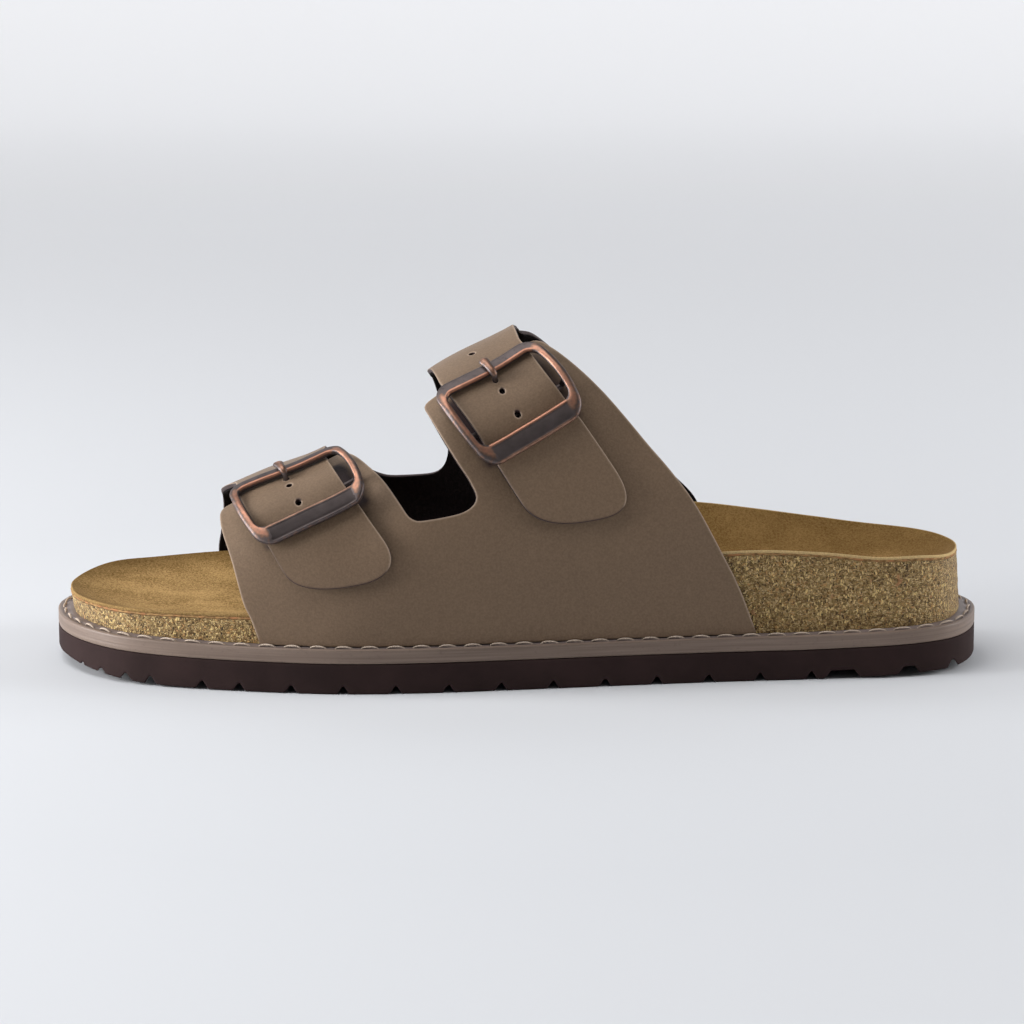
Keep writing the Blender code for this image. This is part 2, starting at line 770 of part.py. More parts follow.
def inside(points, outline):
    """Which points lie inside the closed outline, by counting crossings."""
    x, y = points[:, 0][:, None], points[:, 1][:, None]
    x0, y0 = outline.T
    x1, y1 = np.roll(outline, -1, 0).T
    crosses = (y0 > y) != (y1 > y)
    rise = np.where(y1 == y0, 1, y1 - y0)
    return (crosses & (x < x0 + (y - y0) * (x1 - x0) / rise)).sum(1) % 2 == 1


def cut_from_last(name, outline, holes, lift_of, collection):
    """A leather piece: its pattern filled with triangles on the last, thickened outward.

    The outline starts and ends on the ledge, and the line between its ends closes it."""
    scale = np.array([FOOTBED_LENGTH, PATTERN_GIRTH])
    ledge_line = np.array([outline[-1], outline[0]])
    loops = [np.vstack([evenly(line, PATTERN_SPACING / 2, scale) for line in (outline, ledge_line)])]
    loops += holes
    rim = np.vstack(loops)
    low, high = rim.min(0) * scale, rim.max(0) * scale
    rows = np.arange(low[1], high[1], PATTERN_SPACING * math.sqrt(0.75))
    columns = np.arange(low[0], high[0], PATTERN_SPACING)
    lattice = [(x + PATTERN_SPACING / 2 * (i % 2), y) for i, y in enumerate(rows) for x in columns]
    lattice = np.array(lattice) / scale
    keep = inside(lattice, loops[0])
    for hole in holes:
        keep &= ~inside(lattice, hole)
    away = np.linalg.norm((lattice[:, None] - rim[None]) * scale, axis=2).min(1)
    lattice = lattice[keep & (away > PATTERN_SPACING * PATTERN_CLEAR)]
    points = np.vstack([rim, lattice]) * scale
    edges, start = [], 0
    for loop in loops:
        edges += [(start + i, start + (i + 1) % len(loop)) for i in range(len(loop))]
        start += len(loop)
    filled = delaunay_2d_cdt([Vector(p) for p in points], edges, [], 0, 1e-7, False)
    shares = np.array([tuple(p) for p in filled[0]]) / scale
    faces = np.array(filled[2])
    centres = shares[faces].mean(1)
    keep = inside(centres, loops[0])
    for hole in holes:
        keep &= ~inside(centres, hole)
    place = lifted(shares[:, 0], shares[:, 1], lift_of(shares))
    bm = bmesh.new()
    verts = [bm.verts.new(p) for p in place]
    for face in faces[keep]:
        bm.faces.new([verts[i] for i in face])
    loose = [v for v in bm.verts if not v.link_faces]
    bmesh.ops.delete(bm, geom=loose, context="VERTS")
    piece = add_object(name, bm, collection)
    solidify = piece.modifiers.new("Thickness", "SOLIDIFY")
    solidify.thickness = LEATHER_THICKNESS
    solidify.offset = 1
    apply_modifiers(piece)
    piece.data.set_sharp_from_angle(angle=SHARP_ANGLE)
    return piece


def round_hole(strap, v):
    turn = np.linspace(0, 2 * math.pi, 8, endpoint=False)
    radius = STRAP_HOLE_DIAMETER / 2
    return strap.on_strap(radius * np.cos(turn), v + radius * np.sin(turn))


def curl_slot(strap):
    """Slot in the tab that the prong's curl turns in."""
    half_u = CURL_WIDTH / 2 + GAP
    half_v = CURL_RADIUS + GAP
    u = np.array([-half_u, half_u, half_u, -half_u])
    v = HINGE_PLACE + np.array([-half_v, -half_v, half_v, half_v])
    return strap.shares(u, v)


def outer_quarter(straps, parts):
    outline = open_curve(OUTER_QUARTER, 6)
    slots = [curl_slot(strap) for strap in straps]
    return cut_from_last("outer_quarter", outline, slots, lambda shares: np.zeros(len(shares)), parts)


def inner_quarter(straps, parts):
    front, rear = straps
    outline = np.vstack([
        INNER_QUARTER_FRONT,
        strap_end(front),
        INNER_QUARTER_NOTCH,
        strap_end(rear),
        INNER_QUARTER_BACK,
    ])
    outline = open_curve(outline, 4)
    holes = [round_hole(strap, share * BUCKLE_LENGTH) for strap in straps for share in STRAP_HOLES]
    return cut_from_last("inner_quarter", outline, holes, lambda shares: strap_lift(shares, straps), parts)


def frame_loop(half_u, low_v, high_v, corner):
    """A rectangle with round corners whose long sides bulge, as u and v, starting at a corner."""
    arc = np.linspace(0, math.pi / 2, 5)
    u, v = [], []
    for k, (side, end) in enumerate(((1, high_v), (-1, high_v), (-1, low_v), (1, low_v))):
        turn = arc + k * math.pi / 2
        inward = 1 if end == low_v else -1
        corner_u = side * (half_u - corner) + corner * np.cos(turn)
        corner_v = end + inward * corner + corner * np.sin(turn)
        next_u = (-side if k % 2 == 0 else side) * (half_u - (corner if k % 2 == 0 else 0))
        next_v = end if k % 2 == 0 else (low_v + corner if k == 1 else high_v - corner)
        steps = np.linspace(0, 1, 9)[1:-1]
        u += [corner_u, corner_u[-1] + steps * (next_u - corner_u[-1])]
        v += [corner_v, corner_v[-1] + steps * (next_v - corner_v[-1])]
    u, v = np.concatenate(u), np.concatenate(v)
    half_v = BUCKLE_LENGTH / 2
    return u + BUCKLE_BULGE * u / half_u * (1 - (v / half_v) ** 2), v


def buckle(strap, parts):
    """Frame with a thin top bar and a wide keeper bar, and its hinge bar with the ends turned up."""
    half_length = BUCKLE_LENGTH / 2
    half_width = STRAP_WIDTH / 2 + RAIL_OVERLAP
    outer_u, outer_v = frame_loop(half_width, -half_length, half_length, FRAME_CORNER)
    top_edge, keeper_edge = TOP_BAR_WIDTH - half_length, half_length - KEEPER_BAR_WIDTH
    inner_u, inner_v = frame_loop(half_width - RAIL_WIDTH, top_edge, keeper_edge, FRAME_CORNER / 2)
    rings = []
    for share, height in BAR_SECTION:
        u = outer_u + share * (inner_u - outer_u)
        v = outer_v + share * (inner_v - outer_v)
        under = LEATHER_THICKNESS * eased(FRAME_HEIGHT, 1, v / BUCKLE_LENGTH)
        rings.append(strap.points(u, v, under + height * BAR_THICKNESS))
    frame = ring_solid("buckle_" + strap.name, rings, parts)
    bar = wire(
        "hinge_" + strap.name,
        [(u, HINGE_PLACE, w) for u, w in hinge_path()],
        [(HINGE_DIAMETER / 2, HINGE_DIAMETER / 2)] * len(hinge_path()),
        strap,
        parts,
        Vector((0, 1, 0)),
    )
    add_boolean(frame, bar, "UNION")
    apply_modifiers(frame)
    bpy.data.objects.remove(bar)
    return frame


def hinge_path():
    """Places (u, height) of the hinge bar's axis, from inside one rail to inside the other."""
    half = STRAP_WIDTH / 2
    rail = half + RAIL_OVERLAP - RAIL_WIDTH / 2 + BUCKLE_BULGE
    rail_middle = LEATHER_THICKNESS * eased(FRAME_HEIGHT, 1, 0) + BAR_THICKNESS / 2
    drop = rail_middle - HINGE_HEIGHT
    side = [(half + (rail - half) * out, HINGE_HEIGHT + drop * up) for out, up in HINGE_END]
    middle = [(u, HINGE_HEIGHT) for u in np.linspace(-half, half, 8)[1:-1]]
    return [(-u, w) for u, w in side] + middle + side[::-1]


def ring_solid(name, rings, collection):
    """A closed tube whose rings run round it lengthwise."""
    count = len(rings[0])
    bm = bmesh.new()
    rows = [[bm.verts.new(point) for point in each] for each in rings]
    for k, lower in enumerate(rows):
        upper = rows[(k + 1) % len(rows)]
        for i in range(count):
            j = (i + 1) % count
            bm.faces.new((lower[i], lower[j], upper[j], upper[i]))
    bmesh.ops.recalc_face_normals(bm, faces=bm.faces)
    return add_object(name, bm, collection)


def wire(name, path, radii, strap, collection, across):
    """A tube with elliptical sections along a path in the strap's u, v and w."""
    path = np.array(path)
    tangent = np.gradient(path, axis=0)
    tangent /= np.linalg.norm(tangent, axis=1)[:, None]
    across = np.broadcast_to(np.array(across), path.shape)
    normal = np.cross(tangent, across)
    normal /= np.linalg.norm(normal, axis=1)[:, None]
    turn = np.linspace(0, 2 * math.pi, 8, endpoint=False)
    rings = []
    for point, out, side, (along_across, along_normal) in zip(path, normal, across, radii):
        ring_points = (
            point
            + np.outer(np.cos(turn) * along_across, side)
            + np.outer(np.sin(turn) * along_normal, out)
        )
        rings.append(strap.points(*ring_points.T))
    bm = bmesh.new()
    rows = [[bm.verts.new(p) for p in each] for each in rings]
    for lower, upper in zip(rows, rows[1:]):
        for i in range(len(turn)):
            j = (i + 1) % len(turn)
            bm.faces.new((lower[i], lower[j], upper[j], upper[i]))
    bm.faces.new(rows[0][::-1])
    bm.faces.new(rows[-1])
    bmesh.ops.recalc_face_normals(bm, faces=bm.faces)
    return add_object(name, bm, collection)


def prong(strap, parts):
    """Prong: curled round the hinge bar, along under the strap, up through a hole, over the bar."""
    curl = CURL_RADIUS - PRONG_CURL_WALL / 2
    radius = PRONG_DIAMETER / 2
    hole = PRONG_HOLE * BUCKLE_LENGTH
    low = LEATHER_THICKNESS + GAP + radius
    under_bar = LEATHER_THICKNESS * eased(FRAME_HEIGHT, 1, PRONG_HOLE)
    over = under_bar + BAR_THICKNESS + GAP + radius
    path, radii = [], []
    for turn in np.radians(np.linspace(-160, 90, 10)):
        path.append((0, HINGE_PLACE + curl * math.cos(turn), HINGE_HEIGHT + curl * math.sin(turn)))
        radii.append((CURL_WIDTH / 2, PRONG_CURL_WALL / 2))
    for start, along, base, height, wide, deep in PRONG_SHAFT:
        place = {"hinge": HINGE_PLACE, "hole": hole}[start] + along * radius
        w = {"curl": HINGE_HEIGHT + curl, "strap": low, "bar": over}[base] + height * radius
        share = np.clip((HINGE_PLACE - place) / (HINGE_PLACE - hole), 0, 1)
        path.append((strap.middle(hole) * share, place, w))
        radii.append((radius * wide, radius * deep))
    return wire("prong_" + strap.name, path, radii, strap, parts, (1.0, 0.0, 0.0))


def finish(name):
    """The piece's own material."""
    *colour, roughness, metallic = FINISHES[name]
    material = bpy.data.materials.new(name)
    material.use_nodes = True
    shader = material.node_tree.nodes["Principled BSDF"]
    shader.inputs["Base Color"].default_value = (*colour, 1.0)
    shader.inputs["Roughness"].default_value = roughness
    shader.inputs["Metallic"].default_value = metallic
    material.diffuse_color = (*colour, 1.0)
    return material


def main():
    for obj in list(bpy.data.objects):
        bpy.data.objects.remove(obj)
    parts = bpy.data.collections.new("cork_footbed_sandal")
    cutters = bpy.data.collections.new("cutters")
    for collection in (parts, cutters):
        bpy.context.scene.collection.children.link(collection)
    outsole(parts, cutters)
    welt(parts)
    footbed(parts)
    insole(parts)
    straps = [Strap(row) for row in BUCKLES]
    outer_quarter(straps, parts)
    inner_quarter(straps, parts)
    for strap in straps:
        buckle(strap, parts)
        prong(strap, parts)
    for piece in parts.objects:
        piece.data.materials.append(finish(piece.name))


if __name__ == "__main__":
    main()
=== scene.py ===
"""Finished surfaces of a two-strap cork footbed sandal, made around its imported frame.

The toe points to -X, the outer side of the foot faces -Y and +Z is up. Lengths are in metres.
Every surface is worked out from the footbed's outline, its relief and one last, which the
quarters, their straps and the buckles share.
"""

import math

import bmesh
import bpy
import numpy as np
from bpy.props import FloatProperty, FloatVectorProperty, IntProperty, PointerProperty
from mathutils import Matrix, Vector
from mathutils.geometry import delaunay_2d_cdt


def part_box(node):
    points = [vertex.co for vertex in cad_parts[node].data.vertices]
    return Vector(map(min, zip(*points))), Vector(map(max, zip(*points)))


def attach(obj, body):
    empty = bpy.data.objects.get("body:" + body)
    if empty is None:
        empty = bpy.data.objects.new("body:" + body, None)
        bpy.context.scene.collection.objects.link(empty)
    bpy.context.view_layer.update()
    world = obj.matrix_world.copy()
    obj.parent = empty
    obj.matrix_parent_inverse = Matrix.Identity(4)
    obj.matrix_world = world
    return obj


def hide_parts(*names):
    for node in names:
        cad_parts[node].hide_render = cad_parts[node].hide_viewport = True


bl_info = {
    "name": "Cork Footbed Sandal",
    "version": (1, 0, 0),
    "blender": (4, 5, 0),
    "location": "3D View > Sidebar > Sandal",
    "description": "Makes the finished surfaces of a two-strap cork footbed sandal",
    "category": "Add Mesh",
}

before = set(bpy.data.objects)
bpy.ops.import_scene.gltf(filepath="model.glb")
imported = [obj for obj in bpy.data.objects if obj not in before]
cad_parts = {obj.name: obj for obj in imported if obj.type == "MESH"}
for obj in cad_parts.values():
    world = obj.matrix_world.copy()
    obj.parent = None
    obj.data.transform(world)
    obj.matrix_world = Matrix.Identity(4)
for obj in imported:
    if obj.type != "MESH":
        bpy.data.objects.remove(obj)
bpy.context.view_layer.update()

MM = 0.001

# Sole and footbed
LEDGE_WIDTH = 5 * MM
sole_low, sole_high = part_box("outsole")
FOOTBED_LENGTH = sole_high.x - sole_low.x - 2 * LEDGE_WIDTH
FOOTBED_WIDTH = sole_high.y - sole_low.y - 2 * LEDGE_WIDTH
OUTSOLE_THICKNESS = 9 * MM
WELT_THICKNESS = 4.5 * MM
INSOLE_THICKNESS = 1.6 * MM
RIM_HEIGHT = 28 * MM
TOE_SPRING = 1.5 * MM
HEEL_SPRING = 2.0 * MM
FLAT_START = 0.30
FLAT_END = 0.80
TOE_BEVEL = 2.2 * MM
TOE_BEVEL_END = 0.10
TOE_LEAN = 1.0 * MM
TOE_LEAN_END = 0.12
HEEL_TUCK_START = 0.90
SPINE_START = 0.14
SPINE_END = 0.86
GROOVE_PITCH = 15.8 * MM
GROOVE_WIDTH = 3.6 * MM
GROOVE_TOP = 0.6 * MM
GROOVE_DEPTH = 2.4 * MM
FIRST_GROOVE = 0.199
LAST_GROOVE = 0.83

# Upper
LEATHER_THICKNESS = 2.0 * MM
INSTEP_HEIGHT = 84 * MM
STRAP_WIDTH = 28.6 * MM
STRAP_TIP_ROUND = 11 * MM
STRAP_TIP_FULLNESS = 2.7
STRAP_TIP_SLANT = 0.3
STRAP_TIP_FLARE = 0.06
STRAP_BEND_PLACE = 4 * MM
STRAP_END_START = -0.75
LINING_ROUND = 0.35
LINING_COARSENESS = 1.4

# Buckle
BUCKLE_LENGTH = 25.6 * MM
BUCKLE_BULGE = 2.0 * MM
RAIL_WIDTH = 2.6 * MM
TOP_BAR_WIDTH = 3.2 * MM
KEEPER_BAR_WIDTH = 5.6 * MM
PANEL_DEPTH = 0.25 * MM
BAR_THICKNESS = 1.8 * MM
RAIL_OVERLAP = 2.8 * MM
FRAME_CORNER = 4.4 * MM
HINGE_DIAMETER = 1.6 * MM
HINGE_PLACE = 2.0 * MM
HINGE_HEIGHT = 3.1 * MM
PRONG_DIAMETER = 1.6 * MM
PRONG_CURL_WALL = 0.6 * MM
CURL_RADIUS = 1.65 * MM
CURL_WIDTH = 2.4 * MM
CURL_ANGLES = (-160, 90)
SLOT_SQUARENESS = 0.4
TOP_BAR_PLACE = -0.45

# Gaps, the sole's finish and the seam. Each wave's length is that of one radian of its turn.
GAP = 0.3 * MM
SEAM = 0.05 * MM
JUTE_WAVE = 0.9 * MM
JUTE_BULGE = 0.1 * MM
WELT_WAVE = 0.10 * MM
WELT_WAVE_LENGTHS = (23 * MM, 61 * MM)
WELT_INNER_OUTSETS = (0.3 * MM, -2 * MM)
CHANNEL_SQUARENESS = 0.7
CRUMB_MIDDLE = 0.4
CORK_COVER_SHARES = (0.08, 0.2, 0.4, 0.65, 1.0)
SUEDE_UNDER_SHARES = (1.0, 0.7, 0.45, 0.25, 0.12, 0.06)
STITCH_LEAN = 0.9
STITCH_SINK = 0.9
STITCH_FULLNESS = 0.6
THREAD_TAPER = 0.35
THREAD_FLATNESS = 0.85
THREAD_TWISTS = 3

# Fineness of the meshes
OUTLINE_SAMPLES = 60
TANGENT_SPAN = 8
SECTION_POINTS = 160
LAST_ROWS = 561
LAST_COLUMNS = 401
STEP_ALONG = 0.006
STEP_AROUND = 0.008
PATTERN_GIRTH = 200 * MM
WELD_DISTANCE = 0.002 * MM
TUBE_SIDES = 20
ARC_POINTS = 7
LOW_ARC_POINTS = 4
OUTSOLE_ARC_POINTS = 6
RULED_ROWS = 13
STRAP_TIP_POINTS = 17
STRAP_SIDE_POINTS = 8
RIM_SPACING = 0.75
RIM_CLEARANCE = 0.6
POINTS_AT_ONCE = 1500
OUTSOLE_ROWS = 7
WELT_ROWS = 6
CHANNEL_POINTS = 11
CORK_ROWS = 42
CORK_EXTRA_STATIONS = 30
SUEDE_ROWS = 43
SUEDE_CROWDING = 1.35
HOLE_POINTS = 24
FRAME_SIDES = 44
FRAME_CORNER_POINTS = 14
FRAME_SIDE_POINTS = 26
CURL_POINTS = 16
STITCH_ROWS = 15
STITCH_SIDES = 12

# Outline of the footbed seen from above, from the toe tip round the outer side to the heel and
# back along the inner side. Columns: share of the length from the toe, share of the width.
OUTLINE = (
    (0.000, 0.100), (0.004, -0.040), (0.017, -0.150), (0.040, -0.250), (0.073, -0.335),
    (0.115, -0.390), (0.165, -0.430), (0.225, -0.465), (0.310, -0.495), (0.400, -0.480),
    (0.500, -0.435), (0.610, -0.380), (0.730, -0.325), (0.850, -0.285), (0.910, -0.270),
    (0.950, -0.240), (0.976, -0.190), (0.993, -0.090), (1.000, 0.035), (0.994, 0.140),
    (0.976, 0.240), (0.945, 0.310), (0.895, 0.350), (0.830, 0.360), (0.720, 0.345),
    (0.600, 0.350), (0.490, 0.400), (0.380, 0.465), (0.280, 0.500), (0.180, 0.490),
    (0.105, 0.440), (0.050, 0.360), (0.016, 0.250),
)

# Footbed relief. Columns: share of the length, then heights above the ledge as shares of the rim
# height: outer rim, inner rim and middle of the bed; then how steeply the bed leaves the outer
# and the inner rim.
FOOTBED = (
    (0.00, 0.25, 0.25, 0.14, 3.0, 3.0),
    (0.03, 0.27, 0.31, 0.14, 3.6, 3.6),
    (0.08, 0.285, 0.325, 0.15, 4.0, 4.0),
    (0.15, 0.31, 0.36, 0.17, 4.0, 4.0),
    (0.22, 0.33, 0.38, 0.19, 4.0, 3.6),
    (0.32, 0.35, 0.43, 0.22, 3.5, 3.0),
    (0.45, 0.54, 0.70, 0.28, 2.6, 2.0),
    (0.58, 0.82, 0.99, 0.38, 2.2, 1.8),
    (0.70, 0.92, 1.05, 0.43, 2.2, 2.0),
    (0.78, 0.935, 0.96, 0.42, 2.4, 2.4),
    (0.84, 0.89, 0.87, 0.40, 2.5, 2.5),
    (0.90, 0.81, 0.78, 0.38, 2.6, 2.6),
    (0.95, 0.78, 0.735, 0.37, 2.6, 2.6),
    (1.00, 0.70, 0.70, 0.37, 2.6, 2.6),
)

# The last over the footbed. Columns: share of the length, crest height above the ledge as a share
# of the instep height, crest place across as a share of the footbed width, and the fullness of
# the outer and the inner side (2 is an ellipse, more is boxier).
LAST = (
    (0.00, 0.25, -0.02, 2.40, 2.5),
    (0.10, 0.33, -0.07, 2.40, 2.5),
    (0.175, 0.437, -0.11, 2.42, 2.5),
    (0.22, 0.502, -0.10, 2.46, 2.5),
    (0.28, 0.570, -0.06, 2.42, 2.5),
    (0.34, 0.675, -0.03, 2.20, 2.45),
    (0.40, 0.854, -0.02, 2.20, 2.4),
    (0.50, 1.022, 0.02, 1.90, 2.3),
    (0.60, 1.200, 0.06, 1.65, 2.2),
    (0.70, 1.280, 0.08, 1.80, 2.2),
    (0.80, 1.340, 0.05, 2.00, 2.2),
    (1.00, 1.390, 0.00, 2.20, 2.2),
)

# Cross grooves of the outsole: share of the length, width as a share of the groove width.
GROOVES = (
    (0.020, 0.6),
    (0.043, 1.0),
    (0.072, 1.1),
    (0.100, 1.0),
    (0.158, 1.0),
    *((share, 1.0) for share in np.arange(FIRST_GROOVE, LAST_GROOVE, GROOVE_PITCH / FOOTBED_LENGTH)),
    (0.860, 3.0),
    (0.934, 1.9),
    (0.985, 1.0),
)

# Patterns of the quarters on the last. Columns: share of the length, share of the way round the
# last from the outer ledge to the inner ledge.
OUTER_QUARTER = (
    (0.223, 0.000), (0.213, 0.052), (0.205, 0.085), (0.194, 0.160), (0.183, 0.226),
    (0.179, 0.262), (0.178, 0.298), (0.184, 0.318), (0.200, 0.330), (0.250, 0.372),
    (0.295, 0.410), (0.311, 0.414), (0.320, 0.393), (0.339, 0.333), (0.356, 0.286),
    (0.376, 0.226), (0.387, 0.199), (0.402, 0.191), (0.440, 0.194), (0.456, 0.210),
    (0.450, 0.236), (0.434, 0.274), (0.418, 0.319), (0.406, 0.363), (0.403, 0.385),
    (0.414, 0.396), (0.460, 0.421), (0.512, 0.447), (0.529, 0.439), (0.540, 0.420),
    (0.563, 0.381), (0.596, 0.327), (0.640, 0.255), (0.668, 0.213), (0.694, 0.170),
    (0.724, 0.106), (0.745, 0.057), (0.764, 0.000),
)
INNER_QUARTER_FRONT = (
    (0.160, 1.000), (0.155, 0.955), (0.1535, 0.920), (0.157, 0.880), (0.161, 0.830),
    (0.163, 0.760), (0.164, 0.690), (0.168, 0.630), (0.176, 0.565), (0.186, 0.500),
)
INNER_QUARTER_NOTCH = (
    (0.292, 0.500), (0.288, 0.570), (0.290, 0.640), (0.298, 0.700), (0.312, 0.745),
    (0.327, 0.775), (0.347, 0.800), (0.372, 0.812), (0.400, 0.818), (0.414, 0.810),
    (0.421, 0.785), (0.420, 0.745), (0.415, 0.700), (0.410, 0.640), (0.407, 0.580),
    (0.407, 0.530),
)
INNER_QUARTER_BACK = (
    (0.504, 0.540), (0.521, 0.590), (0.544, 0.640), (0.572, 0.690), (0.600, 0.738),
    (0.650, 0.803), (0.680, 0.843), (0.700, 0.867), (0.711, 0.887), (0.725, 0.930),
    (0.742, 1.000),
)

# Buckles. Columns: name; centre as shares of the length and of the way round the last; turn of the
# frame in degrees from straight across; its stretch along the strap and its skew toward the heel,
# which make up for the last's curve and twist there; how far the strap lies off the frame's middle
# as a share of its width; its lean toward the heel past its bend; and how far its tip reaches past
# the frame as a share of the frame's length.
BUCKLES = (
    ("front", 0.271, 0.275, 19, 0.91, 0.13, -0.075, 0.12, 0.79),
    ("rear", 0.495, 0.335, 32, 1.06, 0.02, -0.007, 0.09, 0.93),
)

# How far the straps stand off the last. Columns: place along the strap from the buckle's middle,
# positive toward the tip, as a share of the buckle's length; lift as a share of the leather.
STRAP_LIFT = (
    (-2.60, 0.00),
    (-1.70, 0.45),
    (-1.15, 1.10),
    (-0.80, 1.40),
    (-0.44, 2.10),
    (-0.29, 2.20),
    (0.06, 2.65),
    (0.29, 2.00),
    (0.50, 1.80),
    (0.85, 1.25),
    (1.10, 1.20),
    (2.00, 1.20),
)

# How far the straps drift toward the heel on their way up to the crest. Columns: place along the
# strap as a share of the buckle's length; drift as a share of the strap's width.
STRAP_DRIFT = (
    (-0.75, 0.115),
    (-0.62, 0.080),
    (-0.50, 0.050),
    (-0.30, 0.020),
    (-0.10, 0.000),
    (0.10, 0.000),
)

# Places of the strap's holes from the buckle's middle, as shares of the buckle's length.
PRONG_HOLE = -0.322
STRAP_HOLES = (-0.90, PRONG_HOLE, -0.165, 0.140)

# Underside of the buckle's frame. Columns: share of the buckle's length from its middle, height
# over the last as a share of the leather.
FRAME_HEIGHT = (
    (-0.60, 3.32),
    (-0.38, 3.40),
    (0.06, 3.46),
    (0.29, 3.28),
    (0.60, 3.15),
)

# Section of the frame along its length. Columns: share of the buckle's length from its middle,
# thickness as a share of the bar, squareness (2 is round, more is flatter).
FRAME_SECTION = (
    (-0.50, 1.05, 5.0),
    (-0.40, 1.05, 5.0),
    (-0.28, 1.12, 2.6),
    (0.10, 1.12, 2.4),
    (0.24, 1.25, 2.4),
    (0.33, 1.35, 3.0),
    (0.50, 1.20, 5.0),
)

# Wear and painted shade of the frame and the prongs. The patina is 0 on bare copper, about 1 on dark
# faces and more on the darkest; the same number also carries painted shade on the rails' inner walls,
# on the prongs under the top bar and on the front frame's panel. The pairs say where a change starts
# and ends: along in shares of the buckle's length from its middle, across in shares of the section
# from its outer edge, up in shares of its height, and the panel's end in metres from the frame's side.
# The front frame's panel is painted darker than the rear one's: painted shade.
PANEL_PATINA_AND_SHADE = {"front": 1.35, "rear": 0.92}
RAIL_PATINA = 0.74
RAIL_RUBBING = 0.56
# The rails' inner walls are painted darker: painted shade with dark patina.
INNER_WALL_SHADE_AND_PATINA = 0.3
HINGE_PATINA = 0.9
PRONG_PATINA = 0.15
PRONG_SIDE_PATINA = 0.75
# The prongs are painted dark under the top bar: painted shade with dark patina.
PRONG_LOW_SHADE_AND_PATINA = 0.9
TOP_BAR_ALONG = (-0.36, -0.42)
PANEL_ALONG = (0.26, 0.32)
PANEL_END = (2.6 * MM, 4.2 * MM)
LOWER_LINE_ACROSS = (0.14, 0.09)
LOWER_LINE_RUBBING = 0.6
UPPER_LINE_ACROSS = (0.80, 0.88)
UPPER_LINE_UP = (0.2, 0.5)
UPPER_LINE_RUBBING = 0.95
RUBBED_FROM = (0.28, 0.52)
RUBBED_TO = (0.93, 0.84)
INNER_WALL_ACROSS = (0.88, 0.96)
TOP_BAR_LINE_ACROSS = (0.74, 0.82)
CREST_UP = (0.35, 0.75)

# Paint round the leather's edges, from the inner face to the outer one. Columns: dark of the cut,
# pale of the crest, a painted highlight. The crest turns dark where the edge faces down, a painted
# shade, and the paint ends at the ledge: each pair says where that change starts and ends. The
# margin is metres beyond the round.
EDGE_PAINT = (
    (0.00, 0.0),
    (0.60, 0.0),
    (1.00, 0.0),
    (1.00, 0.0),
    (1.00, 0.0),
    (1.00, 0.2),
    (0.90, 0.6),
    (0.50, 0.9),
    (0.20, 1.0),
    (0.05, 1.0),
    (0.00, 0.9),
    (0.00, 0.5),
    (0.00, 0.0),
)
EDGE_MARGIN = 0.45 * MM
UNDER_ROUND = 0.4
EDGE_SHADE_FACING_DOWN = (0.35, 0.80)
OFF_THE_LEDGE = (0.005, 0.02)

# Where the nubuck under the buckles is painted dark, a painted shadow of the buckle: metres out
# from the frame's side, and shares of the buckle's length from its middle.
BUCKLE_SHADOW_SIDE = (0.5 * MM, -1.2 * MM)
BUCKLE_SHADOW_END = (0.50, 0.42)

# Pale of the suede's cut edge, from its foot up its round edge. It fades toward the toe between two
# shares of the length. The bed's wall is painted darker between two slopes: painted shade.
SUEDE_EDGE_PAINT = (1.0, 1.0, 1.0, 0.95, 0.85, 0.6, 0.35)
SUEDE_PALE_ALONG = (0.25, 0.70)
SUEDE_PALE_AT_TOE = 0.15
SUEDE_WALL_SHADE_SLOPE = (0.08, 0.50)

# End of the hinge bar, from inside the rail down to the strap's edge. Columns: share of the way
# from the strap's edge to the rail, share of the height between hinge bar and rail.
HINGE_END = (
    (1.00, 1.00),
    (0.95, 0.72),
    (0.72, 0.17),
    (0.50, 0.03),
    (0.10, 0.00),
)

# Shaft of the prong from its curl to its tip. Columns: what the place is counted from, place
# toward the tip as a negative number of prong radii, what the height is counted from, height over
# it in radii, and the section's width and depth as shares of the prong.
PRONG_SHAFT = (
    ("hinge", -2.0, "curl", -0.1, 0.9, 0.6),
    ("hinge", -4.2, "curl", -0.8, 1.0, 0.8),
    ("hinge", -7.0, "strap", 0.1, 1.0, 1.0),
    ("hole", 2.4, "strap", 0.0, 1.0, 1.0),
    ("hole", 0.6, "strap", 0.6, 1.0, 1.0),
    ("hole", 0.0, "strap", 2.0, 1.0, 1.0),
    ("hole", 0.0, "bar", -2.8, 1.0, 1.0),
    ("hole", -0.4, "bar", -0.9, 1.35, 1.0),
    ("hole", -1.6, "bar", 0.0, 1.55, 1.0),
    ("hole", -3.4, "bar", 0.1, 1.6, 1.0),
    ("hole", -5.3, "bar", 0.0, 2.0, 1.0),
    ("hole", -6.3, "bar", -0.1, 1.7, 0.8),
    ("hole", -6.7, "bar", -0.15, 0.1, 0.1),
)

# Soft troughs and ridges of the leather. Columns: share of the length, share of the way round,
# turn in degrees from lengthwise, half length, half width and height in millimetres.
CREASES = (
    (0.300, 0.100, 60, 26, 9, -0.35),
    (0.420, 0.130, 80, 20, 8, -0.30),
    (0.600, 0.150, 65, 30, 10, -0.35),
    (0.520, 0.060, 20, 34, 8, 0.30),
    (0.330, 0.050, 10, 30, 7, 0.25),
    (0.680, 0.080, 75, 22, 9, 0.25),
    (0.250, 0.800, 70, 30, 10, -0.35),
    (0.480, 0.850, 70, 30, 10, -0.40),
    (0.620, 0.880, 60, 26, 9, 0.30),
    (0.370, 0.920, 15, 40, 9, 0.30),
)

# Browns of the cork crumbs, as screen values. Each is as frequent as the others.
CORK_BROWNS = (
    (84, 62, 30),
    (134, 108, 62),
    (166, 136, 82),
    (188, 158, 104),
    (148, 120, 72),
    (206, 176, 122),
    (172, 144, 92),
    (116, 88, 46),
    (222, 192, 138),
    (156, 126, 78),
    (196, 150, 92),
    (98, 74, 40),
)

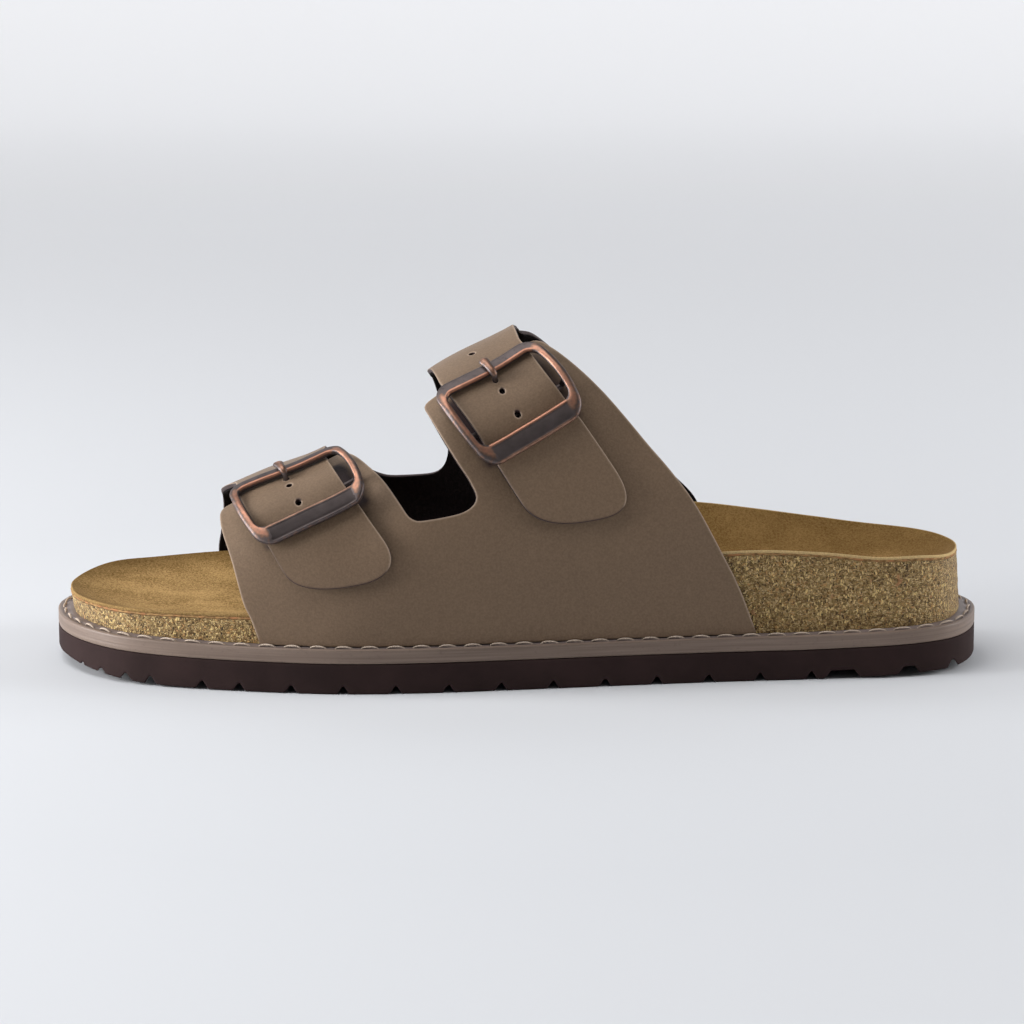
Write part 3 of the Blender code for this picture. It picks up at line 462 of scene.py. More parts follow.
# Soft lights. Columns: name, place in metres, width in metres, power in watts.
LIGHTS = (
    ("overhead_softbox", (-0.50, -0.15, 1.25), 0.9, 8.5),
    ("toe_softbox", (-1.15, -0.14, 0.24), 0.7, 24.0),
    ("heel_softbox", (1.30, 0.05, 0.50), 0.8, 13.0),
)
WORLD_LIGHT = 0.12
FAR_GLOW = 0.66
BACKDROP_WIDTH = 8.0
BACKDROP_REACH = 3.0
BACKDROP_HEIGHT = 4.0
BACKDROP_BEND = 1.2

# Camera
CAMERA_TILT = math.radians(10.8)
CAMERA_AIM = Vector((0, 0, 45 * MM))
CAMERA_DISTANCE = 1.25
PICTURE_WIDTH_AT_AIM = 0.31928
CAMERA_SHIFT = (-0.00390625, 0.00213188)
SENSOR_WIDTH = 36


def paint(red, green, blue):
    """A colour given by its screen values from 0 to 255, as the linear values that shaders use."""
    screen = np.array([red, green, blue]) / 255
    linear = np.where(screen <= 0.04045, screen / 12.92, ((screen + 0.055) / 1.055) ** 2.4)
    return tuple(float(value) for value in linear)


def length_setting(name, description, millimetres):
    return FloatProperty(
        name=name,
        description=description,
        default=millimetres * MM,
        min=0,
        subtype="DISTANCE",
        unit="LENGTH",
    )


def colour_setting(name, description, *screen):
    return FloatVectorProperty(
        name=name,
        description=description,
        default=paint(*screen),
        size=3,
        min=0,
        max=1,
        subtype="COLOR",
    )


class SandalSizes(bpy.types.PropertyGroup):
    """Sizes of the finish."""

    suede: length_setting("Suede", "Thickness of the suede at the footbed's edge", 1.15)
    jute: length_setting("Jute", "Thickness of the jute line under the suede", 0.75)
    jute_depth: length_setting("Jute depth", "How far the jute reaches in from the edge", 3.0)
    suede_round: length_setting("Suede edge", "Radius of the suede's upper edge", 0.6)
    crumb: length_setting("Crumb", "Size of the cork crumbs that stand out", 2.0)
    crumb_relief: length_setting("Crumb relief", "How far the cork crumbs stand out", 0.16)
    lining: length_setting("Lining", "Thickness of the felt lining", 0.65)
    cut_round: length_setting("Cut edge", "Radius of the leather's upper edges", 0.25)
    hole: length_setting("Hole", "Diameter of the punched holes", 1.85)
    leather_mesh: length_setting("Leather mesh", "Spacing of the points on the leather", 1.7)
    thread: length_setting("Thread", "Diameter of the sewing thread", 0.75)
    stitch_pitch: length_setting("Stitch pitch", "Distance from stitch to stitch", 7.8)
    stitch_length: length_setting("Stitch", "Length of a stitch", 5.8)
    stitch_arch: length_setting("Stitch arch", "Height of a stitch over the ledge", 0.45)
    stitch_place: length_setting("Stitch place", "Distance of the seam from the footbed's edge", 3.0)
    channel: length_setting("Channel", "Width of the stitching channel in the ledge", 1.6)
    channel_depth: length_setting("Channel depth", "Depth of the stitching channel", 0.2)
    welt_round: length_setting("Welt edge", "Radius of the welt's edges", 0.55)
    sole_round: length_setting("Sole edge", "Radius of the outsole's edges", 0.6)
    stations: IntProperty(
        name="Stations",
        description="Points along each side of the sole",
        default=420,
        min=60,
        max=900,
    )


class SandalColours(bpy.types.PropertyGroup):
    """Colours of the finish."""

    rubber: colour_setting("Rubber", "Outsole", 47, 34, 33)
    welt_light: colour_setting("Welt light", "Lighter streaks of the welt", 130, 112, 100)
    welt_dark: colour_setting("Welt dark", "Darker streaks of the welt", 110, 93, 82)
    welt_ledge: colour_setting("Welt ledge", "Upper face of the welt", 120, 107, 104)
    suede: colour_setting("Suede", "Footbed cover", 190, 154, 100)
    suede_dark: colour_setting("Suede dark", "Darker nap of the footbed cover", 108, 80, 40)
    suede_edge: colour_setting("Suede edge", "Cut edge of the footbed cover", 214, 184, 132)
    jute_light: colour_setting("Jute light", "Lighter strands of the jute", 176, 138, 88)
    jute_dark: colour_setting("Jute dark", "Darker strands of the jute", 112, 82, 48)
    jute_orange: colour_setting("Jute orange", "Orange strands of the jute", 172, 116, 74)
    leather: colour_setting("Leather", "Nubuck of the upper", 111, 91, 72)
    leather_dark: colour_setting("Leather dark", "Darker patches of the nubuck", 108, 88, 70)
    cut_highlight: colour_setting("Cut light", "Upper line of the leather's cut edges", 168, 146, 126)
    cut_dark_and_shadow: colour_setting("Cut dark", "Sides of the leather's cut edges", 54, 38, 38)
    lining: colour_setting("Lining", "Felt inside the upper", 12, 8, 9)
    copper: colour_setting("Copper", "Rubbed edges of the buckles", 176, 127, 106)
    worn_copper: colour_setting("Worn copper", "Half rubbed faces of the buckles", 148, 116, 100)
    gunmetal: colour_setting("Gunmetal", "Dark faces of the buckles", 98, 89, 88)
    thread: colour_setting("Thread", "Sewing thread", 212, 192, 174)
    floor: colour_setting("Floor", "Floor and backdrop", 213, 215, 219)
    glow: colour_setting("Glow", "Light that the backdrop gives off", 253, 253, 255)


def eased(rows, column, along):
    """Reads one column of a table with a cubic whose slope at each row follows its neighbours."""
    table = np.array(rows)
    stations, values = table[:, 0], table[:, column]
    slopes = np.gradient(values, stations)
    along = np.clip(along, stations[0], stations[-1])
    row = np.clip(np.searchsorted(stations, along) - 1, 0, len(stations) - 2)
    span = stations[row + 1] - stations[row]
    t = (along - stations[row]) / span
    level = (2 * t**3 - 3 * t**2 + 1) * values[row] + (3 * t**2 - 2 * t**3) * values[row + 1]
    slope = (t**3 - 2 * t**2 + t) * slopes[row] + (t**3 - t**2) * slopes[row + 1]
    return level + slope * span


def smooth_step(low, high, value):
    """0 below low, 1 above high and 3t^2 - 2t^3 between."""
    t = np.clip((value - low) / (high - low), 0, 1)
    return t * t * (3 - 2 * t)


def catmull_rom(a, b, c, d, t):
    """The Catmull-Rom cubic from b to c, with a before them and d after."""
    bend = 2 * a - 5 * b + 4 * c - d
    twist = 3 * b - a - 3 * c + d
    return 0.5 * (2 * b + (c - a) * t + bend * t**2 + twist * t**3)


def closed_curve(points, samples):
    """A closed Catmull-Rom curve through the points."""
    points = np.array(points)
    before, after, beyond = np.roll(points, 1, 0), np.roll(points, -1, 0), np.roll(points, -2, 0)
    t = np.linspace(0, 1, samples, endpoint=False)[None, :, None]
    a, b, c, d = (p[:, None, :] for p in (before, points, after, beyond))
    return catmull_rom(a, b, c, d, t).reshape(-1, points.shape[1])


def open_curve(points, samples):
    """A Catmull-Rom curve through the points from the first to the last."""
    points = np.array(points, float)
    ends = np.vstack([2 * points[0] - points[1], points, 2 * points[-1] - points[-2]])
    t = np.linspace(0, 1, samples, endpoint=False)[None, :, None]
    a, b, c, d = (ends[i : len(ends) - 3 + i][:, None, :] for i in range(4))
    return np.vstack([catmull_rom(a, b, c, d, t).reshape(-1, points.shape[1]), points[-1:]])


def unit(vectors):
    """Vectors brought to length one."""
    return vectors / np.maximum(np.linalg.norm(vectors, axis=-1, keepdims=True), 1e-12)


def full_turn(count):
    """Even angles once round."""
    return np.linspace(0, 2 * math.pi, count, endpoint=False)


def inner_shares(count):
    """Even shares between 0 and 1, both left out."""
    return np.linspace(0, 1, count + 2)[1:-1]


def run_along(points):
    """Length of a line of points up to each of them."""
    return np.concatenate([[0], np.cumsum(np.linalg.norm(np.diff(points, axis=0), axis=1))])


def footbed_sides():
    """The footbed's outer and inner side from toe to heel: X, Y and the outward direction."""
    curve = closed_curve(OUTLINE, OUTLINE_SAMPLES)
    low, high = curve.min(0), curve.max(0)
    curve = (curve - low) / (high - low) - 0.5
    curve = np.roll(curve, -np.argmin(curve[:, 0]), axis=0) * (FOOTBED_LENGTH, FOOTBED_WIDTH)
    forward = unit(np.roll(curve, -TANGENT_SPAN, 0) - np.roll(curve, TANGENT_SPAN, 0))
    rows = np.column_stack([curve, forward[:, 1], -forward[:, 0]])
    heel = np.argmax(rows[:, 0])
    return rows[: heel + 1], np.vstack([rows[heel:], rows[:1]])[::-1]


OUTER_SIDE, INNER_SIDE = footbed_sides()


def x_of(along):
    return (along - 0.5) * FOOTBED_LENGTH


def side_at(side, along, column):
    return np.interp(x_of(along), side[:, 0], side[:, column])


def rocker(along):
    """Height of the sole's underside over the floor: zero between FLAT_START and FLAT_END."""
    toe = np.clip((FLAT_START - along) / FLAT_START, 0, 1)
    heel = np.clip((along - FLAT_END) / (1 - FLAT_END), 0, 1)
    return TOE_SPRING * toe**2.2 + HEEL_SPRING * heel**1.6


def ledge_height(along):
    """Height of the welt's upper face."""
    return rocker(along) + OUTSOLE_THICKNESS + GAP + WELT_THICKNESS


class Loop:
    """Stations round the footbed, out along its outer side and back along its inner side.

    They lie at half of one minus the cosine of an even angle, so that they crowd at the tips."""

    def __init__(self, count, extra=()):
        stations = (1 - np.cos(np.pi * np.arange(count + 1) / count)) / 2
        stations = np.unique(np.concatenate([stations, np.clip(extra, 0, 1)]))
        self.one_side = stations
        self.along = np.concatenate([stations, stations[-2:0:-1]])
        self.inner = np.arange(len(self.along)) >= len(stations)
        self.middle = np.clip(self.along, SPINE_START, SPINE_END)
        spine_y = (side_at(OUTER_SIDE, self.middle, 1) + side_at(INNER_SIDE, self.middle, 1)) / 2
        self.spine = np.column_stack([x_of(self.middle), spine_y])
        self.edge = np.column_stack([x_of(self.along), self.read(1)])
        self.outward = unit(np.column_stack([self.read(2), self.read(3)]))
        self.run = run_along(np.vstack([self.edge, self.edge[:1]]))

    def read(self, column):
        """One column of whichever side each station is on."""
        outer, inner = (side_at(side, self.along, column) for side in (OUTER_SIDE, INNER_SIDE))
        return np.where(self.inner, inner, outer)

    def plan(self, outset):
        """The outline moved outward by outset, as X and Y."""
        return self.edge + self.outward * np.asarray(outset).reshape(-1, 1)

    def rings(self, outsets, heights):
        """Rings at the given outsets and heights, as rows of points."""
        outsets = np.asarray(outsets, float).reshape(-1, 1) * np.ones(len(self.along))
        heights = np.asarray(heights, float)
        plans = self.edge[None] + self.outward[None] * outsets[..., None]
        return np.concatenate([plans, (heights * np.ones(outsets.shape))[..., None]], axis=-1)

    def spine_ring(self, height):
        return np.column_stack([self.spine, height])[None]


class Bed:
    """The footbed's relief over a loop: its height at a distance in from the edge.

    The height falls from the rim to the bed with (1 - share of the way in) to a power."""

    def __init__(self, loop):
        toe = np.clip((TOE_LEAN_END - loop.along) / TOE_LEAN_END, 0, 1)
        heel = np.clip((loop.along - HEEL_TUCK_START) / (1 - HEEL_TUCK_START), 0, 1)
        self.outset = TOE_LEAN * (toe - heel)
        self.edge = loop.plan(self.outset)
        inward = loop.spine - self.edge
        self.reach = np.linalg.norm(inward, axis=1)
        self.inward = inward / self.reach[:, None]
        outer, inner = (RIM_HEIGHT * eased(FOOTBED, column, loop.along) for column in (1, 2))
        self.rim = ledge_height(loop.along) + np.where(loop.inner, inner, outer)
        self.low = ledge_height(loop.middle) + RIM_HEIGHT * eased(FOOTBED, 3, loop.middle)
        outer, inner = (eased(FOOTBED, column, loop.middle) for column in (4, 5))
        self.steepness = np.where(loop.inner, inner, outer)

    def height(self, across):
        left = np.clip(1 - across / self.reach, 0, 1)
        return self.low + (self.rim - self.low) * left**self.steepness

    def slope(self, across):
        left = np.clip(1 - across / self.reach, 0, 1)
        return -(self.rim - self.low) * self.steepness / self.reach * left ** (self.steepness - 1)

    def points(self, across, height):
        """Points at rows of distances in from the edge and heights."""
        across, height = np.broadcast_arrays(across, height)
        plans = self.edge[None] + self.inward[None] * across[..., None]
        return np.concatenate([plans, height[..., None]], axis=-1)

    def under(self, across, depth):
        """Points square under the relief by depth."""
        slope = self.slope(across)
        length = np.sqrt(1 + slope**2)
        place = np.maximum(across + depth * slope / length, 0)
        return self.points(place, self.height(across) - depth / length)


def last_table():
    """Points on the last, row by row along its length and evenly spaced round each section.

    Each half of a section is a wall up to the rim and then a superellipse up to the crest."""
    along = np.linspace(0, 1, LAST_ROWS)
    ledge = ledge_height(along) + GAP
    crest = ledge + INSTEP_HEIGHT * eased(LAST, 1, along)
    crest_y = FOOTBED_WIDTH * eased(LAST, 2, along)
    turn = np.linspace(0, math.pi / 2, SECTION_POINTS)
    halves = []
    for side, column, outward in ((OUTER_SIDE, 1, -1), (INNER_SIDE, 2, 1)):
        edge = side_at(side, along, 1) + outward * GAP
        wall_top = ledge + RIM_HEIGHT * eased(FOOTBED, column, along)
        power = 2 / eased(LAST, column + 2, along)[:, None]
        y = crest_y[:, None] + (edge - crest_y)[:, None] * np.cos(turn) ** power
        z = wall_top[:, None] + (crest - wall_top)[:, None] * np.sin(turn) ** power
        halves.append((np.column_stack([edge, y]), np.column_stack([ledge, z])))
    y = np.hstack([halves[0][0], halves[1][0][:, -2::-1]])
    z = np.hstack([halves[0][1], halves[1][1][:, -2::-1]])
    steps = np.hypot(np.diff(y), np.diff(z))
    run = np.hstack([np.zeros((len(y), 1)), np.cumsum(steps, axis=1)])
    share = np.linspace(0, 1, LAST_COLUMNS)
    across = np.array([np.interp(share * r[-1], r, row) for r, row in zip(run, y)])
    height = np.array([np.interp(share * r[-1], r, row) for r, row in zip(run, z)])
    return np.stack([x_of(along)[:, None] * np.ones(across.shape), across, height], axis=-1)


LAST_POINTS = last_table()


def on_last(along, around):
    """Points on the last. around is the share of the way over it, from outer to inner ledge."""
    row = np.clip(along, 0, 1) * (LAST_ROWS - 1)
    column = np.clip(around, 0, 1) * (LAST_COLUMNS - 1)
    i = np.clip(row.astype(int), 0, LAST_ROWS - 2)
    j = np.clip(column.astype(int), 0, LAST_COLUMNS - 2)
    s, t = (row - i)[:, None], (column - j)[:, None]
    near = LAST_POINTS[i, j] * (1 - t) + LAST_POINTS[i, j + 1] * t
    far = LAST_POINTS[i + 1, j] * (1 - t) + LAST_POINTS[i + 1, j + 1] * t
    return near * (1 - s) + far * s


def last_axes(along, around):
    """How the point on the last moves with each share, by central differences."""
    lower, upper = np.clip(around - STEP_AROUND, 0, 1), np.clip(around + STEP_AROUND, 0, 1)
    by_along = on_last(along + STEP_ALONG, around) - on_last(along - STEP_ALONG, around)
    by_along /= 2 * STEP_ALONG
    by_around = (on_last(along, upper) - on_last(along, lower)) / (upper - lower)[:, None]
    return by_along, by_around


def lifted(shares, lift):
    """Points at the height lift above the last."""
    along, around = shares[:, 0], shares[:, 1]
    normal = unit(np.cross(*last_axes(along, around)))
    return on_last(along, around) + normal * np.asarray(lift).reshape(-1, 1)


def past_bend(v):
    """How far past the strap's bend the place v lies."""
    return np.maximum(np.asarray(v) - STRAP_BEND_PLACE, 0)


class Strap:
    """Flat coordinates round one buckle: u along its bars toward the heel, v toward the tip."""

    def __init__(self, row):
        self.name, along, around, turn, stretch, skew, offset, self.lean, reach = row
        self.offset = STRAP_WIDTH * offset
        self.tip = BUCKLE_LENGTH * (0.5 + reach)
        self.centre = np.array([along, around])
        by_along, by_around = (axis[0] for axis in last_axes(np.array([along]), np.array([around])))
        normal = np.cross(by_along, by_around)
        down = -by_around / np.linalg.norm(by_around)
        back = unit(np.cross(normal, down))
        angle = math.radians(turn)
        v_axis = math.cos(angle) * down + math.sin(angle) * back
        u_axis = math.cos(angle) * back - math.sin(angle) * down
        v_axis = stretch * (v_axis + skew * u_axis)
        steps = np.linalg.pinv(np.column_stack([by_along, by_around]))
        self.to_shares = steps @ np.column_stack([u_axis, v_axis])

    def shares(self, u, v):
        """Shares on the last of points given in metres from the buckle's middle."""
        u, v = np.broadcast_arrays(u, v)
        return self.centre + np.stack([u, v], axis=-1).reshape(-1, 2) @ self.to_shares.T

    def middle(self, v):
        """How far toward the heel the strap's middle line lies: it leans past its bend."""
        drift = STRAP_WIDTH * eased(STRAP_DRIFT, 1, np.asarray(v) / BUCKLE_LENGTH)
        return self.offset + self.lean * past_bend(v) + drift

    def on_strap(self, u, v):
        """Shares of points of the strap, which widens a little past its bend."""
        flare = 1 + STRAP_TIP_FLARE * past_bend(v) / BUCKLE_LENGTH
        return self.shares(self.middle(v) + u * flare, v)

    def flat(self, shares):
        """The opposite of shares."""
        return (shares - self.centre) @ np.linalg.inv(self.to_shares).T

    def points(self, u, v, w):
        """Points in space, at the height w over the last."""
        return lifted(self.shares(u, v), np.broadcast_to(w, np.broadcast(u, v).shape).ravel())


def strap_end(strap):
    """Outline of the strap round its tip, from its front side to its back side."""
    start = strap.tip - STRAP_TIP_ROUND
    half = STRAP_WIDTH / 2
    turn = np.linspace(0, math.pi / 2, STRAP_TIP_POINTS)
    out = np.cos(turn) ** (2 / STRAP_TIP_FULLNESS)
    on = np.sin(turn) ** (2 / STRAP_TIP_FULLNESS)
    side = np.linspace(BUCKLE_LENGTH * STRAP_END_START, start, STRAP_SIDE_POINTS)[:-1]
    u = np.concatenate([np.full(len(side), half), half * out])
    v = np.concatenate([side, start + STRAP_TIP_ROUND * on])
    u, v = np.concatenate([-u, u[-2::-1]]), np.concatenate([v, v[-2::-1]])
    return strap.on_strap(u, v + STRAP_TIP_SLANT * u * np.clip(v / strap.tip, 0, 1) ** 2)


def strap_lift(shares, straps):
    """Lift of the inner quarter over the last at the given shares."""
    lift = np.zeros(len(shares))
    for strap in straps:
        flat = strap.flat(shares)
        near = np.abs(flat[:, 0]) < STRAP_WIDTH
        own = LEATHER_THICKNESS * eased(STRAP_LIFT, 1, flat[:, 1] / BUCKLE_LENGTH)
        lift = np.where(near, np.maximum(lift, own), lift)
    return lift


def crease_lift(shares):
    """Height of the soft troughs and ridges: a bell of each one's length and width, added up."""
    place = shares * (FOOTBED_LENGTH, PATTERN_GIRTH)
    total = np.zeros(len(shares))
    for along, around, turn, half_length, half_width, height in CREASES:
        offset = place - np.array([along * FOOTBED_LENGTH, around * PATTERN_GIRTH])
        cos, sin = math.cos(math.radians(turn)), math.sin(math.radians(turn))
        lengthwise = (offset[:, 0] * cos + offset[:, 1] * sin) / (half_length * MM)
        crosswise = (offset[:, 1] * cos - offset[:, 0] * sin) / (half_width * MM)
        total += height * MM * np.exp(-(lengthwise**2) - crosswise**2)
    return total


def grid_quads(rows, columns, wrap_rows=False, wrap_columns=False):
    """Corner numbers of the quads between neighbouring points of a grid."""
    row = np.arange(rows if wrap_rows else rows - 1)[:, None]
    column = np.arange(columns if wrap_columns else columns - 1)[None, :]
    next_row, next_column = (row + 1) % rows, (column + 1) % columns
    corners = (
        row * columns + column,
        row * columns + next_column,
        next_row * columns + next_column,
        next_row * columns + column,
    )
    return np.stack(np.broadcast_arrays(*corners), axis=-1).reshape(-1, 4)


def grid_patch(points, wrap_rows=False, wrap_columns=False, flat_map=None, **marks):
    """A grid of points as one patch of surface, with its flat map and its painted marks."""
    rows, columns = points.shape[:2]
    return {
        "points": points.reshape(-1, 3),
        "faces": grid_quads(rows, columns, wrap_rows, wrap_columns),
        "map": np.zeros((rows * columns, 2)) if flat_map is None else flat_map.reshape(-1, 2),
        "marks": {name: np.broadcast_to(mark, (rows, columns)).ravel() for name, mark in marks.items()},
    }


def build_piece(name, patches, material, replaced, sharp=None):
    """Joins patches into one closed, smooth mesh that rides on the root body.

    Points that meet are welded, which closes the seams and the poles of the grids."""
    points = np.vstack([patch["points"] for patch in patches])
    starts = np.cumsum([0] + [len(patch["points"]) for patch in patches[:-1]])
    faces = [patch["faces"] + start for patch, start in zip(patches, starts)]
    corners = np.concatenate([each.ravel() for each in faces]).astype(np.int32)
    sizes = np.concatenate([np.full(len(each), each.shape[1]) for each in faces])
    mesh = bpy.data.meshes.new(name)
    mesh.vertices.add(len(points))
    mesh.vertices.foreach_set("co", points.astype(np.float32).ravel())
    mesh.loops.add(len(corners))
    mesh.loops.foreach_set("vertex_index", corners)
    mesh.polygons.add(len(sizes))
    mesh.polygons.foreach_set("loop_start", (np.cumsum(sizes) - sizes).astype(np.int32))
    mesh.update(calc_edges=True)
    flat_map = np.vstack([patch["map"] for patch in patches])
    layer = mesh.uv_layers.new(name="surface")
    layer.data.foreach_set("uv", flat_map[corners].astype(np.float32).ravel())
    for mark in patches[0]["marks"]:
        values = np.concatenate([patch["marks"][mark] for patch in patches])
        attribute = mesh.attributes.new(mark, "FLOAT", "POINT")
        attribute.data.foreach_set("value", values.astype(np.float32))
    bm = bmesh.new()
    bm.from_mesh(mesh)
    bmesh.ops.remove_doubles(bm, verts=bm.verts, dist=WELD_DISTANCE)
    bmesh.ops.recalc_face_normals(bm, faces=bm.faces)
    bm.to_mesh(mesh)
    bm.free()
    mesh.shade_smooth()
    if sharp:
        mesh.set_sharp_from_angle(angle=math.radians(sharp))
    mesh.materials.append(material)
    piece = bpy.data.objects.new(name, mesh)
    bpy.context.scene.collection.objects.link(piece)
    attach(piece, "root")
    if replaced:
        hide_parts(*replaced)
    return piece


def cell_random(cells, channel):
    """A fixed number from 0 to 1 for each whole-numbered cell."""
    mixed = np.sin(cells @ np.array([127.1, 311.7, 74.7]) + channel * 19.19) * 43758.5453
    return mixed - np.floor(mixed)


def crumb_height(points, size):
    """Crumbs as cells round scattered seeds: each has its own height and sinks at its border."""
    place = points / size
    base = np.floor(place)
    nearest = np.full(len(points), 9.0)
    second = np.full(len(points), 9.0)
    height = np.zeros(len(points))
    for x in (-1, 0, 1):
        for y in (-1, 0, 1):
            for z in (-1, 0, 1):
                cells = base + (x, y, z)
                seeds = cells + np.column_stack([cell_random(cells, channel) for channel in (1, 2, 3)])
                distance = np.linalg.norm(place - seeds, axis=1)
                closer = distance < nearest
                second = np.where(closer, nearest, np.minimum(second, distance))
                height = np.where(closer, cell_random(cells, 4), height)
                nearest = np.minimum(nearest, distance)
    return height * smooth_step(0, 0.35, second - nearest)


class Finish:
    """A material under way: adds nodes and joins them to its Principled shader."""

    def __init__(self, name, **sockets):
        self.material = bpy.data.materials.new(name)
        self.material.use_nodes = True
        self.tree = self.material.node_tree
        self.shader = self.tree.nodes["Principled BSDF"]
        for socket, value in sockets.items():
            self.shader.inputs[socket.replace("_", " ")].default_value = value
        self.place = self.node("ShaderNodeTexCoord").outputs["Object"]

    def node(self, kind, inputs=None, **settings):
        node = self.tree.nodes.new(kind)
        for name, value in settings.items():
            setattr(node, name, value)
        for name, value in (inputs or {}).items():
            self.feed(node.inputs[name], value)
        return node

    def feed(self, socket, value):
        """Gives a socket a value or joins another node's output to it."""
        if isinstance(value, bpy.types.NodeSocket):
            self.tree.links.new(value, socket)
        elif socket.type == "RGBA":
            socket.default_value = (*value, 1.0)
        else:
            socket.default_value = value

    def stretched(self, scale, source=None):
        """Coordinates scaled by a number for each axis."""
        inputs = {"Vector": source or self.place, "Scale": scale}
        return self.node("ShaderNodeMapping", inputs).outputs["Vector"]

    def noise(self, scale, detail=3.0, source=None, distortion=0.0):
        inputs = {"Vector": source or self.place, "Scale": scale}
        inputs |= {"Detail": detail, "Distortion": distortion}
        return self.node("ShaderNodeTexNoise", inputs).outputs["Fac"]

    def cell_values(self, scale, source):
        """Fixed random values for each cell, one in each colour channel."""
        cells = self.node("ShaderNodeTexVoronoi", {"Vector": source, "Scale": scale})
        return self.node("ShaderNodeSeparateColor", {"Color": cells.outputs["Color"]}).outputs

    def cell_borders(self, scale, source):
        """Distance to the border of each cell."""
        inputs = {"Vector": source, "Scale": scale}
        cells = self.node("ShaderNodeTexVoronoi", inputs, feature="DISTANCE_TO_EDGE")
        return cells.outputs["Distance"]

    def mark(self, name):
        """A painted mark of the mesh."""
        return self.node("ShaderNodeAttribute", attribute_name=name).outputs["Fac"]

    def fit(self, value, low, high, start=0.0, end=1.0):
        """The value's range from low to high laid on the range from start to end."""
        inputs = {"Value": value, "From Min": low, "From Max": high, "To Min": start, "To Max": end}
        return self.node("ShaderNodeMapRange", inputs).outputs["Result"]

    def math(self, operation, first, second=0.5):
        node = self.node("ShaderNodeMath", operation=operation)
        self.feed(node.inputs[0], first)
        self.feed(node.inputs[1], second)
        return node.outputs["Value"]

    def weigh(self, first, second, share):
        """Two values added, the first by its share and the second by the rest."""
        rest = self.math("MULTIPLY", second, 1 - share)
        return self.math("ADD", self.math("MULTIPLY", first, share), rest)

    def ramp(self, value, stops, steps=False):
        """Colours laid along a value. stops holds pairs of place and colour."""
        node = self.node("ShaderNodeValToRGB", {"Fac": value})
        node.color_ramp.interpolation = "CONSTANT" if steps else "LINEAR"
        elements = node.color_ramp.elements
        while len(elements) < len(stops):
            elements.new(0.5)
        for element, (place, colour) in zip(elements, stops):
            element.position = place
            element.color = (*colour, 1.0)
        return node.outputs["Color"]

    def mix(self, factor, first, second, blend="MIX"):
        node = self.node("ShaderNodeMix", data_type="RGBA", blend_type=blend)
        named = {"Factor": factor, "A": first, "B": second}
        for socket in node.inputs:
            wanted = "VALUE" if socket.name == "Factor" else "RGBA"
            if socket.name in named and socket.type == wanted:
                self.feed(socket, named[socket.name])
        return next(socket for socket in node.outputs if socket.type == "RGBA")

    def bump(self, height, depth, strength=1.0, before=None):
        """Relief of the given depth in metres, on top of an earlier relief."""
        inputs = {"Height": height, "Distance": depth, "Strength": strength}
        node = self.node("ShaderNodeBump", inputs)
        if before:
            self.feed(node.inputs["Normal"], before)
        return node.outputs["Normal"]

    def done(self, colour, normal=None, roughness=None):
        self.feed(self.shader.inputs["Base Color"], colour)
        if normal:
            self.feed(self.shader.inputs["Normal"], normal)
        if roughness:
            self.feed(self.shader.inputs["Roughness"], roughness)
        return self.material


def shade(colour, factor):
    """A colour made lighter or darker."""
    return tuple(min(value * factor, 1.0) for value in colour)


def rubber_finish(colours):
    """Dark foamed rubber: nearly smooth, with a fine skin and faint cloudiness."""
    rubber = Finish("foamed_rubber", Roughness=0.8, Specular_IOR_Level=0.12)
    cloud = rubber.noise(60, 4)
    base = tuple(colours.rubber)
    colour = rubber.mix(rubber.fit(cloud, 0.3, 0.7), shade(base, 0.82), shade(base, 1.25))
    skin = rubber.bump(rubber.noise(2600, 3), 0.05 * MM)
    return rubber.done(colour, skin)


def welt_finish(colours):
    """Taupe sheet cut along its length: long fine streaks in its sides."""
    welt = Finish("welt_sheet", Roughness=0.48, Specular_IOR_Level=0.4)
    light, dark = tuple(colours.welt_light), tuple(colours.welt_dark)
    surface = welt.node("ShaderNodeTexCoord").outputs["UV"]
    streaks = welt.noise(1, 5, welt.stretched((28, 1500, 1), surface))
    broad = welt.noise(1, 3, welt.stretched((9, 320, 1), surface))
    both = welt.weigh(streaks, broad, 0.6)
    colour = welt.mix(welt.fit(both, 0.36, 0.62), dark, light)
    colour = welt.mix(welt.mark("ledge"), colour, tuple(colours.welt_ledge))
    specks = welt.fit(welt.noise(900, 2), 0.62, 0.75)
    colour = welt.mix(welt.math("MULTIPLY", specks, 0.35), colour, shade(dark, 0.7))
    relief = welt.bump(streaks, 0.12 * MM, 0.7)
    return welt.done(colour, relief)


